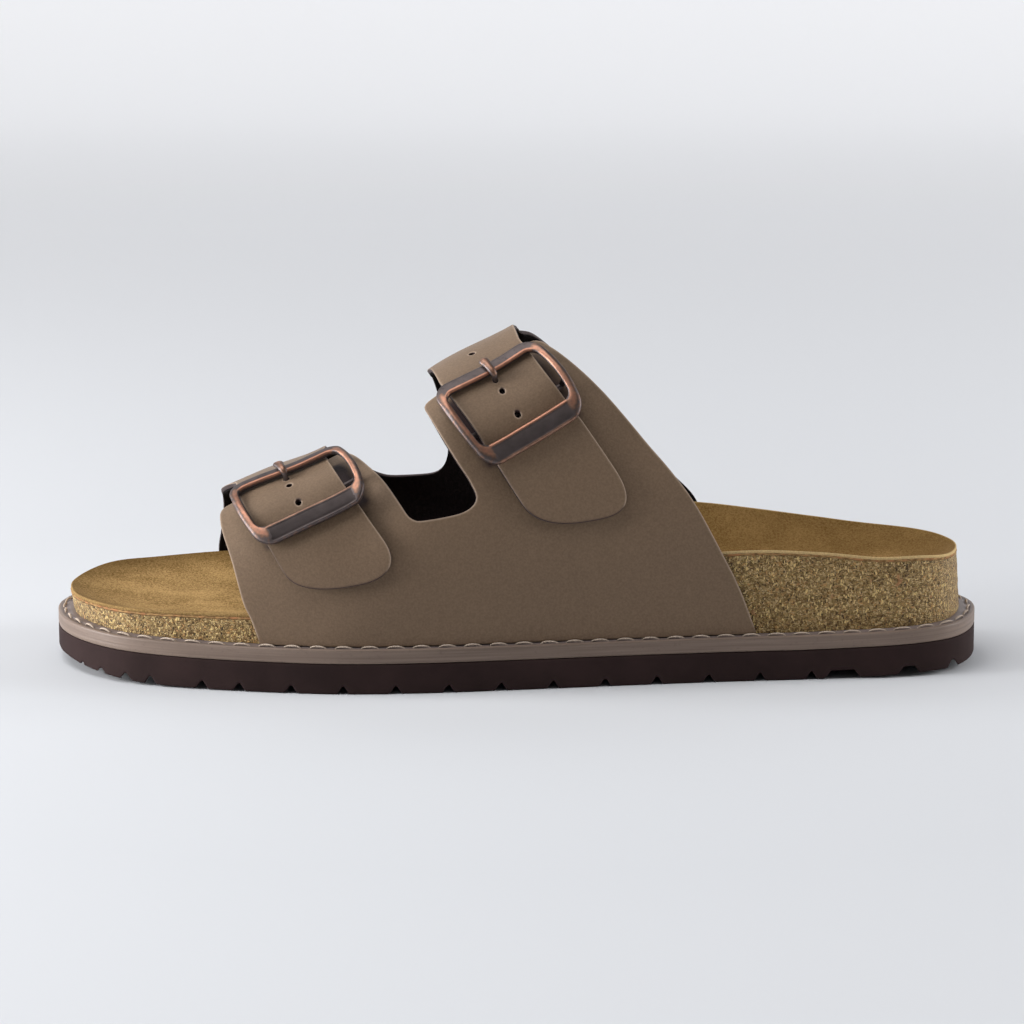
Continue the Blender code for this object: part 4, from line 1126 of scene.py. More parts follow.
def cork_finish(colours):
    """Pressed cork: crumbs that lie lengthwise or upright, of many browns, with specks and pits."""
    cork = Finish(
        "pressed_cork",
        Roughness=0.8,
        Specular_IOR_Level=0.3,
        Sheen_Weight=0.18,
        Sheen_Roughness=0.5,
    )
    wobble = cork.node("ShaderNodeTexNoise", {"Vector": cork.place, "Scale": 900.0, "Detail": 2.0})
    shift = cork.node("ShaderNodeVectorMath", {"Scale": 1.0 * MM}, operation="SCALE")
    cork.feed(shift.inputs[0], wobble.outputs["Color"])
    moved = cork.node("ShaderNodeVectorMath", operation="ADD")
    cork.feed(moved.inputs[0], cork.place)
    cork.feed(moved.inputs[1], shift.outputs[0])
    lying = cork.stretched((0.6, 0.8, 1.3), moved.outputs[0])
    upright = cork.stretched((1.3, 1.1, 0.6), moved.outputs[0])
    browns = [paint(*each) for each in CORK_BROWNS]
    palette = list(zip(np.linspace(0, 1, len(browns), endpoint=False), browns))
    looks = []
    layers = (lying, 1350, "Red"), (upright, 1500, "Green"), (lying, 2600, "Blue")
    for source, scale, channel in layers:
        looks.append(cork.ramp(cork.cell_values(scale, source)[channel], palette, steps=True))
    colour = cork.mix(cork.fit(cork.noise(640, 2), 0.47, 0.53), looks[0], looks[1])
    colour = cork.mix(cork.fit(cork.noise(900, 2), 0.46, 0.54), colour, looks[2])
    joints = cork.cell_borders(1350, lying)
    colour = cork.mix(cork.fit(joints, 0.0, 0.10, 0.5, 0.0), colour, paint(62, 44, 20))
    specks = cork.cell_values(2100, upright)
    colour = cork.mix(cork.fit(specks["Red"], 0.93, 0.94), colour, paint(236, 206, 138))
    colour = cork.mix(cork.fit(specks["Green"], 0.95, 0.96), colour, paint(58, 42, 22))
    blots = cork.fit(cork.noise(380, 3, distortion=0.5), 0.66, 0.72, 0.0, 0.65)
    colour = cork.mix(blots, colour, paint(196, 138, 92))
    grain = cork.noise(4200, 3)
    colour = cork.mix(cork.fit(grain, 0.3, 0.7, 0.0, 0.3), colour, paint(132, 104, 62))
    relief = cork.bump(cork.fit(joints, 0.0, 0.25), 0.20 * MM, 0.9)
    relief = cork.bump(grain, 0.12 * MM, 0.8, relief)
    return cork.done(colour, relief)


def jute_finish(colours):
    """Jute scrim seen from its edge: brown strands with orange ones that come and go."""
    jute = Finish("jute_scrim", Roughness=0.9)
    strands = jute.noise(1300, 3, jute.stretched((0.5, 0.5, 1.6)))
    light, dark = tuple(colours.jute_light), tuple(colours.jute_dark)
    brown = jute.mix(jute.fit(strands, 0.38, 0.62), dark, light)
    patches = jute.fit(jute.noise(380, 4), 0.50, 0.64, 0.0, 0.8)
    colour = jute.mix(patches, brown, tuple(colours.jute_orange))
    relief = jute.bump(strands, 0.3 * MM)
    return jute.done(colour, relief)


def suede_finish(colours):
    """Suede: short speckled nap, lighter in patches, with a cut edge and painted shade on the bed's
    steep wall.
    """
    suede = Finish(
        "footbed_suede",
        Roughness=0.95,
        Specular_IOR_Level=0.12,
        Sheen_Weight=0.12,
        Sheen_Roughness=0.5,
    )
    suede.shader.inputs["Sheen Tint"].default_value = (*shade(tuple(colours.suede), 1.3), 1)
    patches = suede.noise(75, 3, distortion=0.4)
    tufts = suede.noise(1500, 2, distortion=0.5)
    fibres = suede.noise(2400, 2)
    specks = suede.weigh(tufts, fibres, 0.55)
    nap = suede.weigh(specks, patches, 0.75)
    light, dark = tuple(colours.suede), tuple(colours.suede_dark)
    colour = suede.mix(suede.fit(nap, 0.40, 0.60), dark, light)
    # Painted shade: the steep wall of the bed is painted darker.
    colour = suede.mix(suede.math("MULTIPLY", suede.mark("wall"), 0.7), colour, shade(dark, 0.9))
    pale = tuple(colours.suede_edge)
    edge = suede.mix(suede.fit(fibres, 0.35, 0.65), shade(pale, 0.75), pale)
    colour = suede.mix(suede.mark("cut"), colour, edge)
    relief = suede.bump(tufts, 0.28 * MM, 0.8)
    relief = suede.bump(fibres, 0.18 * MM, 0.9, relief)
    return suede.done(colour, relief)


def nubuck_finish(colours):
    """Oiled nubuck: a fine even grain, faint clouds, darker raw edges and their pale upper line, a
    painted highlight, with painted shade and painted shadow in the dark of the edges.
    """
    nubuck = Finish(
        "oiled_nubuck",
        Roughness=0.66,
        Specular_IOR_Level=0.32,
        Sheen_Weight=0.06,
        Sheen_Roughness=0.4,
    )
    clouds = nubuck.noise(38, 4, distortion=0.3)
    grain = nubuck.noise(1600, 3, distortion=0.3)
    base, dark = tuple(colours.leather), tuple(colours.leather_dark)
    colour = nubuck.mix(nubuck.fit(clouds, 0.32, 0.68, 0.0, 0.6), base, dark)
    colour = nubuck.mix(nubuck.fit(grain, 0.35, 0.65, 0.0, 0.8), colour, shade(base, 1.3))
    # Painted highlight: the pale line along the edges' crest.
    colour = nubuck.mix(nubuck.mark("crest"), colour, tuple(colours.cut_highlight))
    # Dark of the raw cut edges, which also carries painted shade where an edge faces down and the
    # painted shadow under the buckles.
    colour = nubuck.mix(nubuck.mark("cut"), colour, tuple(colours.cut_dark_and_shadow))
    relief = nubuck.bump(grain, 0.10 * MM, 0.8)
    return nubuck.done(colour, relief)


def felt_finish(colours):
    """Matted felt lining."""
    felt = Finish("felt_lining", Roughness=1.0, Specular_IOR_Level=0.1)
    tufts = felt.noise(900, 4, distortion=0.8)
    base = tuple(colours.lining)
    colour = felt.mix(felt.fit(tufts, 0.35, 0.68), shade(base, 0.6), shade(base, 1.9))
    relief = felt.bump(tufts, 0.4 * MM, 0.9)
    return felt.done(colour, relief)


def buckle_finish(colours):
    """Antique copper: dark faces, edges rubbed back to the copper, and painted shade in the same mark.
    """
    metal = Finish("antique_copper", Metallic=1.0)
    rub = metal.noise(900, 4)
    brushed = metal.noise(260, 3)
    darkening = metal.math("MULTIPLY", metal.mark("patina"), 0.8)
    patina = metal.math("ADD", darkening, metal.fit(rub, 0.3, 0.7, -0.12, 0.12))
    copper, gunmetal = tuple(colours.copper), tuple(colours.gunmetal)
    brown = tuple(colours.worn_copper)
    stops = (
        (0.08, copper),
        (0.26, brown),
        (0.46, shade(brown, 0.72)),
        (0.62, gunmetal),
        (0.84, gunmetal),
        (0.98, shade(gunmetal, 0.5)),
    )
    colour = metal.ramp(patina, stops)
    cloud = metal.fit(brushed, 0.3, 0.7, 0.85, 1.15)
    grey = metal.node("ShaderNodeCombineXYZ", {"X": cloud, "Y": cloud, "Z": cloud})
    colour = metal.mix(1.0, colour, grey.outputs["Vector"], "MULTIPLY")
    rough = metal.fit(patina, 0.1, 0.8, 0.46, 0.52)
    relief = metal.bump(rub, 0.03 * MM, 0.6)
    return metal.done(colour, relief, rough)


def thread_finish(colours):
    """Waxed thread with its twist."""
    thread = Finish("waxed_thread", Roughness=0.7)
    surface = thread.node("ShaderNodeTexCoord").outputs["UV"]
    inputs = {"Vector": surface, "Scale": 1.0, "Distortion": 1.0}
    twist = thread.node("ShaderNodeTexWave", inputs, bands_direction="DIAGONAL")
    fac = twist.outputs["Fac"]
    fibres = thread.noise(2500, 3)
    base = tuple(colours.thread)
    colour = thread.mix(thread.fit(fac, 0.0, 1.0, 0.0, 0.6), base, shade(base, 0.72))
    colour = thread.mix(thread.fit(fibres, 0.4, 0.7, 0.0, 0.4), colour, shade(base, 0.6))
    relief = thread.bump(fac, 0.12 * MM)
    return thread.done(colour, relief)


def stage_finish(colours):
    """Plain pale paper that glows with its distance, to make up for the softboxes' falloff."""
    paper = Finish("pale_backdrop", Roughness=0.9, Specular_IOR_Level=0.1)
    length = paper.node("ShaderNodeVectorMath", {0: paper.place}, operation="LENGTH")
    glow = paper.fit(length.outputs["Value"], 0.25, 2.6, 0.0, FAR_GLOW)
    paper.feed(paper.shader.inputs["Emission Strength"], glow)
    paper.feed(paper.shader.inputs["Emission Color"], tuple(colours.glow))
    return paper.done(tuple(colours.floor))


def finish_of(make, colours):
    """The material that a function makes, made once."""
    known = bpy.data.materials.get(make.__name__)
    if known:
        return known
    material = make(colours)
    material.name = make.__name__
    return material


def quarter_arc(radius, count):
    """A quarter circle as distances in from a face and down from a face."""
    turn = np.linspace(0, math.pi / 2, count)
    return radius * (1 - np.cos(turn)), radius * (1 - np.sin(turn))


def groove_halves(width):
    """Half the width of a groove at the sole's underside and at its top."""
    half = width * GROOVE_WIDTH / 2
    return half, max(half - GROOVE_WIDTH / 2, GROOVE_TOP / 2)


def groove_rise(x):
    """How far the toe's bevel and the cross grooves lift the outsole's underside at X."""
    share = np.clip(1 - (x / FOOTBED_LENGTH + 0.5) / TOE_BEVEL_END, 0, 1)
    rise = TOE_BEVEL * share**1.5
    for along, width in GROOVES:
        half, top = groove_halves(width)
        own = np.clip((half - np.abs(x - x_of(along))) / (half - top), 0, 1) * GROOVE_DEPTH
        rise = np.maximum(rise, own)
    return rise


def groove_corners():
    """Shares of the length where a groove's section turns."""
    corners = []
    for along, width in GROOVES:
        half, top = groove_halves(width)
        corners += [along + offset / FOOTBED_LENGTH for offset in (-half, -top, top, half)]
    return np.array(corners)


def ruled(loop, ring):
    """A sheet ruled straight across from a ring's outer half to its inner half."""
    count = len(loop.one_side)
    outer, inner = ring[:count], np.vstack([ring[:1], ring[count:][::-1], ring[count - 1 : count]])
    share = np.linspace(0, 1, RULED_ROWS)[:, None, None]
    return outer[None] * (1 - share) + inner[None] * share


def make_outsole(sizes, colours):
    """Outsole: a wall carried round the outline between its grooved underside and its flat top."""
    loop = Loop(sizes.stations, groove_corners())
    inward, down = quarter_arc(sizes.sole_round, OUTSOLE_ARC_POINTS)
    base = rocker(loop.along)[None]
    top = base + OUTSOLE_THICKNESS + GAP - SEAM
    outsets = LEDGE_WIDTH - inward[::-1]
    foot = base + groove_rise(loop.rings(outsets, 0)[..., 0]) + down[::-1, None]
    share = inner_shares(OUTSOLE_ROWS)[:, None]
    wall = foot[-1:] + share * (top - sizes.sole_round - foot[-1:])
    side = np.concatenate([
        loop.rings(outsets, foot),
        loop.rings(np.full(len(share), LEDGE_WIDTH), wall),
        loop.rings(LEDGE_WIDTH - inward, top - down[:, None]),
    ])
    bottom, lid = ruled(loop, side[0]), ruled(loop, side[-1])
    bottom[1:-1, :, 2] = rocker(loop.one_side) + groove_rise(bottom[1:-1, :, 0])
    patches = [grid_patch(side, wrap_columns=True), grid_patch(bottom), grid_patch(lid)]
    rubber = finish_of(rubber_finish, colours)
    return build_piece("rubber_outsole", patches, rubber, ["outsole"], sharp=32)


def make_welt(sizes, colours):
    """Welt: a section carried round the outline, with round edges and a channel for the seam.

    Its side waves by the product of two sines of the way round."""
    loop = Loop(sizes.stations)
    along = loop.along[None]
    base = rocker(along) + OUTSOLE_THICKNESS + GAP
    top = ledge_height(along)
    inward, down = quarter_arc(sizes.welt_round, ARC_POINTS)
    channel = np.linspace(-1, 1, CHANNEL_POINTS)
    depth = sizes.channel_depth * np.cos(channel * math.pi / 2) ** CHANNEL_SQUARENESS
    short, long = WELT_WAVE_LENGTHS
    wave = WELT_WAVE * np.sin(loop.run[:-1] / short) * np.sin(loop.run[:-1] / long + 1)
    share = inner_shares(WELT_ROWS)[:, None]
    outsets = np.concatenate([
        LEDGE_WIDTH - inward[::-1],
        np.full(WELT_ROWS, LEDGE_WIDTH),
        LEDGE_WIDTH - inward,
        sizes.stitch_place - channel * sizes.channel / 2,
        WELT_INNER_OUTSETS,
    ])
    heights = np.concatenate([
        base + down[::-1, None],
        base + sizes.welt_round + share * (top - base - 2 * sizes.welt_round),
        top - down[:, None],
        top - depth[:, None],
        top + np.zeros((len(WELT_INNER_OUTSETS), 1)),
    ])
    rings = loop.rings(outsets, heights)
    weight = np.clip(outsets / LEDGE_WIDTH, 0, 1)[:, None] ** 2
    rings[..., :2] += loop.outward[None] * (weight * wave)[..., None]
    rings = np.concatenate([
        loop.spine_ring(rocker(loop.middle) + OUTSOLE_THICKNESS + GAP),
        rings,
        loop.spine_ring(ledge_height(loop.middle)),
    ])
    across = run_along(rings[:, 0])[:, None] * np.ones(len(loop.along))
    run = np.broadcast_to(loop.run[:-1], across.shape)
    flat_map = np.stack([run, across], axis=-1)
    ledge = np.arange(len(rings))[:, None] > 2 * ARC_POINTS + WELT_ROWS
    patches = [grid_patch(rings, wrap_columns=True, flat_map=flat_map, ledge=ledge)]
    welt = finish_of(welt_finish, colours)
    return build_piece("stitched_welt", patches, welt, ["welt"])


def make_cork(sizes, colours):
    """Cork footbed: a wall with raised crumbs from the ledge to the rim, closed under the suede."""
    loop = Loop(sizes.stations + CORK_EXTRA_STATIONS)
    bed = Bed(loop)
    top = bed.height(0) - sizes.suede - sizes.jute - SEAM
    base = ledge_height(loop.along) + SEAM
    share = np.linspace(0, 1, CORK_ROWS)[:, None]
    wall = loop.rings(np.zeros(len(share)), base + share * (top - base))
    lean = (share * bed.outset)[..., None]
    wall[..., :2] += loop.outward[None] * lean
    crumbs = crumb_height(wall.reshape(-1, 3), sizes.crumb).reshape(wall.shape[:2])
    fade = smooth_step(0, 0.04, share) * smooth_step(0, 0.03, 1 - share)
    relief = (crumbs - CRUMB_MIDDLE) * fade * sizes.crumb_relief
    wall[..., :2] += loop.outward[None] * relief[..., None]
    shares = np.array(CORK_COVER_SHARES)[:, None]
    cover = bed.under(shares * bed.reach, INSOLE_THICKNESS + GAP)
    bottom = loop.spine_ring(ledge_height(loop.middle) + SEAM)
    patches = [grid_patch(np.concatenate([bottom, wall, cover]), wrap_columns=True)]
    cork = finish_of(cork_finish, colours)
    return build_piece("cork_footbed", patches, cork, ["footbed"], sharp=50)


def make_jute(sizes, colours):
    """Jute line: a flat band carried round the rim between the cork and the suede."""
    loop = Loop(sizes.stations)
    bed = Bed(loop)
    upper = bed.height(0) - sizes.suede
    lower = upper - sizes.jute
    depth = np.full((1, 1), sizes.jute_depth)
    fuzz = np.sin(loop.run[:-1] / JUTE_WAVE)
    inset = np.array([[1.0], [-1.0], [1.0]]) * JUTE_BULGE + fuzz * JUTE_BULGE / 2
    rings = np.concatenate([
        bed.under(depth, sizes.suede + sizes.jute),
        bed.points(inset, np.stack([lower, (lower + upper) / 2, upper])),
        bed.under(depth, sizes.suede),
    ])
    patches = [grid_patch(rings, wrap_rows=True, wrap_columns=True)]
    return build_piece("jute_line", patches, finish_of(jute_finish, colours), [])


def make_insole(sizes, colours):
    """Suede cover: the footbed's relief with a round upper edge and a cut side."""
    loop = Loop(sizes.stations)
    bed = Bed(loop)
    shares = np.linspace(0, 1, SUEDE_ROWS + 1)[1:] ** SUEDE_CROWDING
    in_arc, down_arc = quarter_arc(sizes.suede_round, ARC_POINTS)
    arc = bed.points(in_arc[:, None], bed.height(in_arc[:, None]) - down_arc[:, None])
    across = sizes.suede_round + shares[:, None] * (bed.reach - sizes.suede_round)
    face = bed.points(across, bed.height(across))
    foot = bed.points(np.zeros((1, 1)), bed.height(0) - sizes.suede + SEAM)
    low_shares = np.array(SUEDE_UNDER_SHARES)[:, None]
    under = bed.under(low_shares * bed.reach, sizes.suede - SEAM)
    rings = np.concatenate([under, foot, arc, face])
    marks = np.zeros(len(rings))
    marks[len(under) : len(under) + len(SUEDE_EDGE_PAINT)] = SUEDE_EDGE_PAINT
    heelward = smooth_step(*SUEDE_PALE_ALONG, loop.along)
    pale = SUEDE_PALE_AT_TOE + (1 - SUEDE_PALE_AT_TOE) * heelward
    below_face = len(rings) - len(face)
    inset = np.concatenate([np.zeros((below_face, 1)) * bed.reach, across])
    # Painted shade: how steep the bed is there, for darkening its wall.
    wall = smooth_step(*SUEDE_WALL_SHADE_SLOPE, -bed.slope(inset))
    patches = [grid_patch(rings, wrap_columns=True, cut=marks[:, None] * pale, wall=wall)]
    suede = finish_of(suede_finish, colours)
    return build_piece("suede_footbed_cover", patches, suede, ["insole"])


def groups_of(points):
    return np.array_split(points, max(1, len(points) // POINTS_AT_ONCE))


def inside(points, outline):
    """Which points lie inside the closed outline, by counting crossings."""
    x0, y0 = outline.T
    x1, y1 = np.roll(outline, -1, 0).T
    rise = np.where(y1 == y0, 1, y1 - y0)
    parts = []
    for group in groups_of(points):
        x, y = group[:, 0][:, None], group[:, 1][:, None]
        crosses = (y0 > y) != (y1 > y)
        parts.append((crosses & (x < x0 + (y - y0) * (x1 - x0) / rise)).sum(1) % 2 == 1)
    return np.concatenate(parts)


def distance_to(points, others):
    """Distance of each point to the nearest of others."""
    offsets = (group[:, None] - others[None] for group in groups_of(points))
    return np.concatenate([np.linalg.norm(offset, axis=2).min(1) for offset in offsets])


def evenly(line, spacing):
    """The line with points about one spacing apart on the last, without its last point."""
    place = on_last(line[:, 0], line[:, 1])
    run = run_along(place)
    goal = np.linspace(0, run[-1], round(run[-1] / spacing), endpoint=False)
    return np.column_stack([np.interp(goal, run, line[:, 0]), np.interp(goal, run, line[:, 1])])


def inward_steps(loop):
    """Share steps that move each point of a closed loop one metre into the leather.

    The direction is the last's normal crossed with the loop's tangent."""
    place = on_last(loop[:, 0], loop[:, 1])
    a, b = last_axes(loop[:, 0], loop[:, 1])
    tangent = unit(np.roll(place, -1, 0) - np.roll(place, 1, 0))
    inward = unit(np.cross(unit(np.cross(a, b)), tangent))
    aa, ab, bb = (a * a).sum(1), (a * b).sum(1), (b * b).sum(1)
    da, db = (inward * a).sum(1), (inward * b).sum(1)
    spread = aa * bb - ab**2
    return np.column_stack([(bb * da - ab * db) / spread, (aa * db - ab * da) / spread])


def turned(loop, clockwise):
    """The loop in the wanted direction round."""
    x, y = loop.T
    area = np.sum(x * np.roll(y, -1) - np.roll(x, -1) * y)
    return loop[::-1] if (area < 0) != clockwise else loop


def fill_lattice(loops, spacing):
    """Points inside the first loop and outside the others, as shares, and triangles between them."""
    scale = np.array([FOOTBED_LENGTH, PATTERN_GIRTH])
    rim = np.vstack(loops)
    low, high = rim.min(0) * scale, rim.max(0) * scale
    rows = np.arange(low[1], high[1], spacing * math.sqrt(0.75))
    columns = np.arange(low[0], high[0], spacing)
    x, y = np.meshgrid(columns, rows)
    x = x + spacing / 2 * (np.arange(len(rows)) % 2)[:, None]
    lattice = np.column_stack([x.ravel(), y.ravel()]) / scale
    lattice = lattice[inside(lattice, loops[0])]
    for hole in loops[1:]:
        lattice = lattice[~inside(lattice, hole)]
    lattice = lattice[distance_to(lattice * scale, rim * scale) > spacing * RIM_CLEARANCE]
    points = np.vstack([rim, lattice]) * scale
    edges, start = [], 0
    for loop in loops:
        edges += [(start + i, start + (i + 1) % len(loop)) for i in range(len(loop))]
        start += len(loop)
    filled = delaunay_2d_cdt([Vector(p) for p in points], edges, [], 0, 1e-8, False)
    shares = np.array([tuple(p) for p in filled[0]]) / scale
    faces = np.array(filled[2])
    centres = shares[faces].mean(1)
    keep = inside(centres, loops[0])
    for hole in loops[1:]:
        keep &= ~inside(centres, hole)
    return shares, faces[keep]


def sheet_patches(outline, holes, lift_of, shadow_of, low, high, edge_round, spacing):
    """A sheet of the last's shape between two heights, its edges a round profile.

    The profile is carried along the outline and each hole, and both faces are filled. The two
    functions give the lift over the last and the painted shadow at shares on it."""
    ledge_line = np.array([outline[-1], outline[0]])
    loops = [np.vstack([evenly(line, spacing * RIM_SPACING) for line in (outline, ledge_line)])]
    loops = [turned(loops[0], False)] + [turned(hole, True) for hole in holes]
    low_in, low_down = quarter_arc(edge_round * UNDER_ROUND, LOW_ARC_POINTS)
    top_in, top_down = quarter_arc(edge_round, ARC_POINTS)
    margin = edge_round + EDGE_MARGIN
    insets = np.concatenate([[margin], low_in[::-1], top_in, [margin]])
    heights = np.concatenate([[low], low + low_down[::-1], high - top_down, [high]])
    cut, crest = np.array(EDGE_PAINT).T[..., None]
    patches, borders = [], []
    for loop in loops:
        steps = inward_steps(loop)
        shares = loop[None] + insets[:, None, None] * steps[None]
        flat = shares.reshape(-1, 2)
        lift = lift_of(flat) + np.repeat(heights, len(loop))
        points = lifted(flat, lift).reshape(len(insets), len(loop), 3)
        # Painted shade: the pale crest, a painted highlight, turns to the dark of the cut where the
        # edge faces down.
        shade_facing_down = smooth_step(*EDGE_SHADE_FACING_DOWN, unit(points[-1] - points[-2])[:, 2])
        free = smooth_step(*OFF_THE_LEDGE, np.minimum(loop[:, 1], 1 - loop[:, 1]))
        # The buckles' painted shadow joins the dark of the cut mark.
        painted_shadow = shadow_of(flat).reshape(points.shape[:2])
        marks = {
            "cut": np.maximum(np.maximum(cut, crest * shade_facing_down) * free, painted_shadow),
            "crest": crest * (1 - shade_facing_down) * free,
        }
        patches.append(grid_patch(points, wrap_columns=True, **marks))
        borders.append(loop + margin * steps)
    shares, faces = fill_lattice(borders, spacing)
    # Both faces carry the painted shadow under the buckles in their cut mark.
    for height in (low, high):
        patches.append({
            "points": lifted(shares, lift_of(shares) + height),
            "faces": faces,
            "map": np.zeros((len(shares), 2)),
            "marks": {"cut": shadow_of(shares), "crest": np.zeros(len(shares))},
        })
    return patches


def round_hole(strap, v, diameter):
    turn = full_turn(HOLE_POINTS)
    return strap.on_strap(diameter / 2 * np.cos(turn), v + diameter / 2 * np.sin(turn))


def curl_slot(strap):
    """Slot in the tab that the prong's curl turns in, its corners round."""
    half_u = CURL_WIDTH / 2 + GAP
    half_v = CURL_RADIUS + GAP
    turn = full_turn(HOLE_POINTS)
    u = half_u * power_of(np.cos(turn), SLOT_SQUARENESS)
    v = half_v * power_of(np.sin(turn), SLOT_SQUARENESS)
    return strap.shares(u, HINGE_PLACE + v)


def no_painted_shadow(shares):
    """No painted shadow."""
    return np.zeros(len(shares))


def painted_shadow_under_buckles(shares):
    """Where the nubuck under the buckles is painted dark: a painted shadow of the buckle."""
    dark = np.zeros(len(shares))
    reach = STRAP_WIDTH / 2 + RAIL_OVERLAP
    for strap in all_straps():
        u, v = strap.flat(shares).T
        across = smooth_step(*BUCKLE_SHADOW_SIDE, np.abs(u) - reach)
        dark = np.maximum(dark, across * smooth_step(*BUCKLE_SHADOW_END, np.abs(v) / BUCKLE_LENGTH))
    return dark


def make_quarter(name, outline, holes, lift_of, shadow_of, sizes, colours):
    """One quarter: a nubuck sheet over a felt lining, both cut from the last."""
    nubuck, felt = finish_of(nubuck_finish, colours), finish_of(felt_finish, colours)
    heights = sizes.lining + SEAM, LEATHER_THICKNESS
    edge = sizes.cut_round, sizes.leather_mesh
    leather = sheet_patches(outline, holes, lift_of, shadow_of, *heights, *edge)
    build_piece(name + "_leather", leather, nubuck, [name])
    heights = 0.0, sizes.lining
    edge = sizes.lining * LINING_ROUND, sizes.leather_mesh * LINING_COARSENESS
    lining = sheet_patches(outline, holes, lift_of, no_painted_shadow, *heights, *edge)
    build_piece(name + "_lining", lining, felt, [])


def all_straps():
    return [Strap(row) for row in BUCKLES]


def make_outer_quarter(sizes, colours):
    """Outer quarter with its two tabs."""
    outline = open_curve(OUTER_QUARTER, 12)
    slots = [curl_slot(strap) for strap in all_straps()]
    make_quarter("outer_quarter", outline, slots, crease_lift, painted_shadow_under_buckles, sizes, colours)


def make_inner_quarter(sizes, colours):
    """Inner quarter with the two straps that cross the instep and their punched holes."""
    front, rear = straps = all_straps()
    outline = np.vstack([
        INNER_QUARTER_FRONT,
        strap_end(front),
        INNER_QUARTER_NOTCH,
        strap_end(rear),
        INNER_QUARTER_BACK,
    ])
    outline = open_curve(outline, 8)
    holes = []
    for strap in straps:
        holes += [round_hole(strap, share * BUCKLE_LENGTH, sizes.hole) for share in STRAP_HOLES]

    def lift_of(shares):
        return strap_lift(shares, straps) + crease_lift(shares)

    make_quarter("inner_quarter", outline, holes, lift_of, no_painted_shadow, sizes, colours)


def rounded_rectangle(half_u, low_v, high_v, corner):
    """Points round a rectangle: four quarter circles, each followed by a straight side.

    The long sides bulge with one minus the square of the place along them."""
    signs = np.array([[1, 1], [-1, 1], [-1, -1], [1, -1]])
    middle, half_v = (low_v + high_v) / 2, (high_v - low_v) / 2
    centres = signs * (half_u - corner, half_v - corner) + (0, middle)
    turn = np.linspace(0, math.pi / 2, FRAME_CORNER_POINTS) + np.arange(4)[:, None] * math.pi / 2
    arcs = centres[:, None] + corner * np.stack([np.cos(turn), np.sin(turn)], axis=-1)
    ends, starts = arcs[:, -1:], np.roll(arcs[:, :1], -1, 0)
    share = inner_shares(FRAME_SIDE_POINTS)[None, :, None]
    u, v = np.concatenate([arcs, ends + share * (starts - ends)], axis=1).reshape(-1, 2).T
    return u + BUCKLE_BULGE * u / half_u * (1 - (v / (BUCKLE_LENGTH / 2)) ** 2), v


def power_of(value, power):
    """The value's size to a power, with its sign kept."""
    return np.sign(value) * np.abs(value) ** power


def frame_patch(strap):
    """Buckle frame: a superellipse section carried round the frame.

    The section is round on the rails and square on the bars, and the keeper bar has a sunk panel."""
    half_length = BUCKLE_LENGTH / 2
    half_width = STRAP_WIDTH / 2 + RAIL_OVERLAP
    outer_u, outer_v = rounded_rectangle(half_width, -half_length, half_length, FRAME_CORNER)
    top_edge, keeper_edge = TOP_BAR_WIDTH - half_length, half_length - KEEPER_BAR_WIDTH
    inner_half = half_width - RAIL_WIDTH
    inner_u, inner_v = rounded_rectangle(inner_half, top_edge, keeper_edge, FRAME_CORNER / 2)
    place = (outer_v + inner_v) / 2 / BUCKLE_LENGTH
    thickness = BAR_THICKNESS * eased(FRAME_SECTION, 1, place)
    squareness = eased(FRAME_SECTION, 2, place)
    turn = full_turn(FRAME_SIDES)[:, None]
    across = 0.5 + 0.5 * power_of(np.cos(turn), 2 / squareness)
    height = 0.5 + 0.5 * power_of(np.sin(turn), 2 / squareness)
    from_side = half_width - np.abs(inner_u + outer_u) / 2
    top_bar = smooth_step(*TOP_BAR_ALONG, place)
    panel = smooth_step(*PANEL_ALONG, place) * smooth_step(*PANEL_END, from_side)
    lower_line = smooth_step(*LOWER_LINE_ACROSS, across)
    upper_line = smooth_step(*UPPER_LINE_ACROSS, across)
    sunk = panel * (1 - lower_line) * (1 - upper_line) * (height > 0.5)
    u = outer_u + across * (inner_u - outer_u)
    v = outer_v + across * (inner_v - outer_v)
    under = LEATHER_THICKNESS * eased(FRAME_HEIGHT, 1, v / BUCKLE_LENGTH)
    w = under + height * thickness - sunk * PANEL_DEPTH
    points = strap.points(u, v, w).reshape(*u.shape, 3)
    crest = smooth_step(*CREST_UP, height)
    rubbed = smooth_step(*RUBBED_FROM, across) * smooth_step(*RUBBED_TO, across) * crest
    # Painted shade with dark patina on the rails' inner walls.
    inner_wall_shade = smooth_step(*INNER_WALL_ACROSS, across)
    rail_patina = RAIL_PATINA - RAIL_RUBBING * rubbed + INNER_WALL_SHADE_AND_PATINA * inner_wall_shade
    top_patina = 1 - smooth_step(*TOP_BAR_LINE_ACROSS, across) * crest
    lines = LOWER_LINE_RUBBING * lower_line
    lines = lines + UPPER_LINE_RUBBING * upper_line * smooth_step(*UPPER_LINE_UP, height)
    # The front frame's panel is painted darker than the rear one's: painted shade.
    panel_patina = PANEL_PATINA_AND_SHADE[strap.name] - lines
    patina = rail_patina + top_bar * (top_patina - rail_patina)
    patina = patina + panel * (panel_patina - patina)
    return grid_patch(points, wrap_rows=True, wrap_columns=True, patina=patina)


def tube_patch(strap, path, half_widths, half_depths, across, **marks):
    """A tube with elliptical sections carried along a path in the strap's u, v and w."""
    tangent = unit(np.gradient(path, axis=0))
    side = np.broadcast_to(np.array(across, float), path.shape)
    out = unit(np.cross(tangent, side))
    turn = full_turn(TUBE_SIDES)[None, :, None]
    rings = (
        path[:, None]
        + np.cos(turn) * half_widths[:, None, None] * side[:, None]
        + np.sin(turn) * half_depths[:, None, None] * out[:, None]
    )
    ends = [np.broadcast_to(path[i], rings[:1].shape) for i in (0, -1)]
    rings = np.concatenate([ends[0], rings, ends[1]])
    points = strap.points(*np.moveaxis(rings, -1, 0)).reshape(rings.shape)
    return grid_patch(points, wrap_columns=True, **marks)


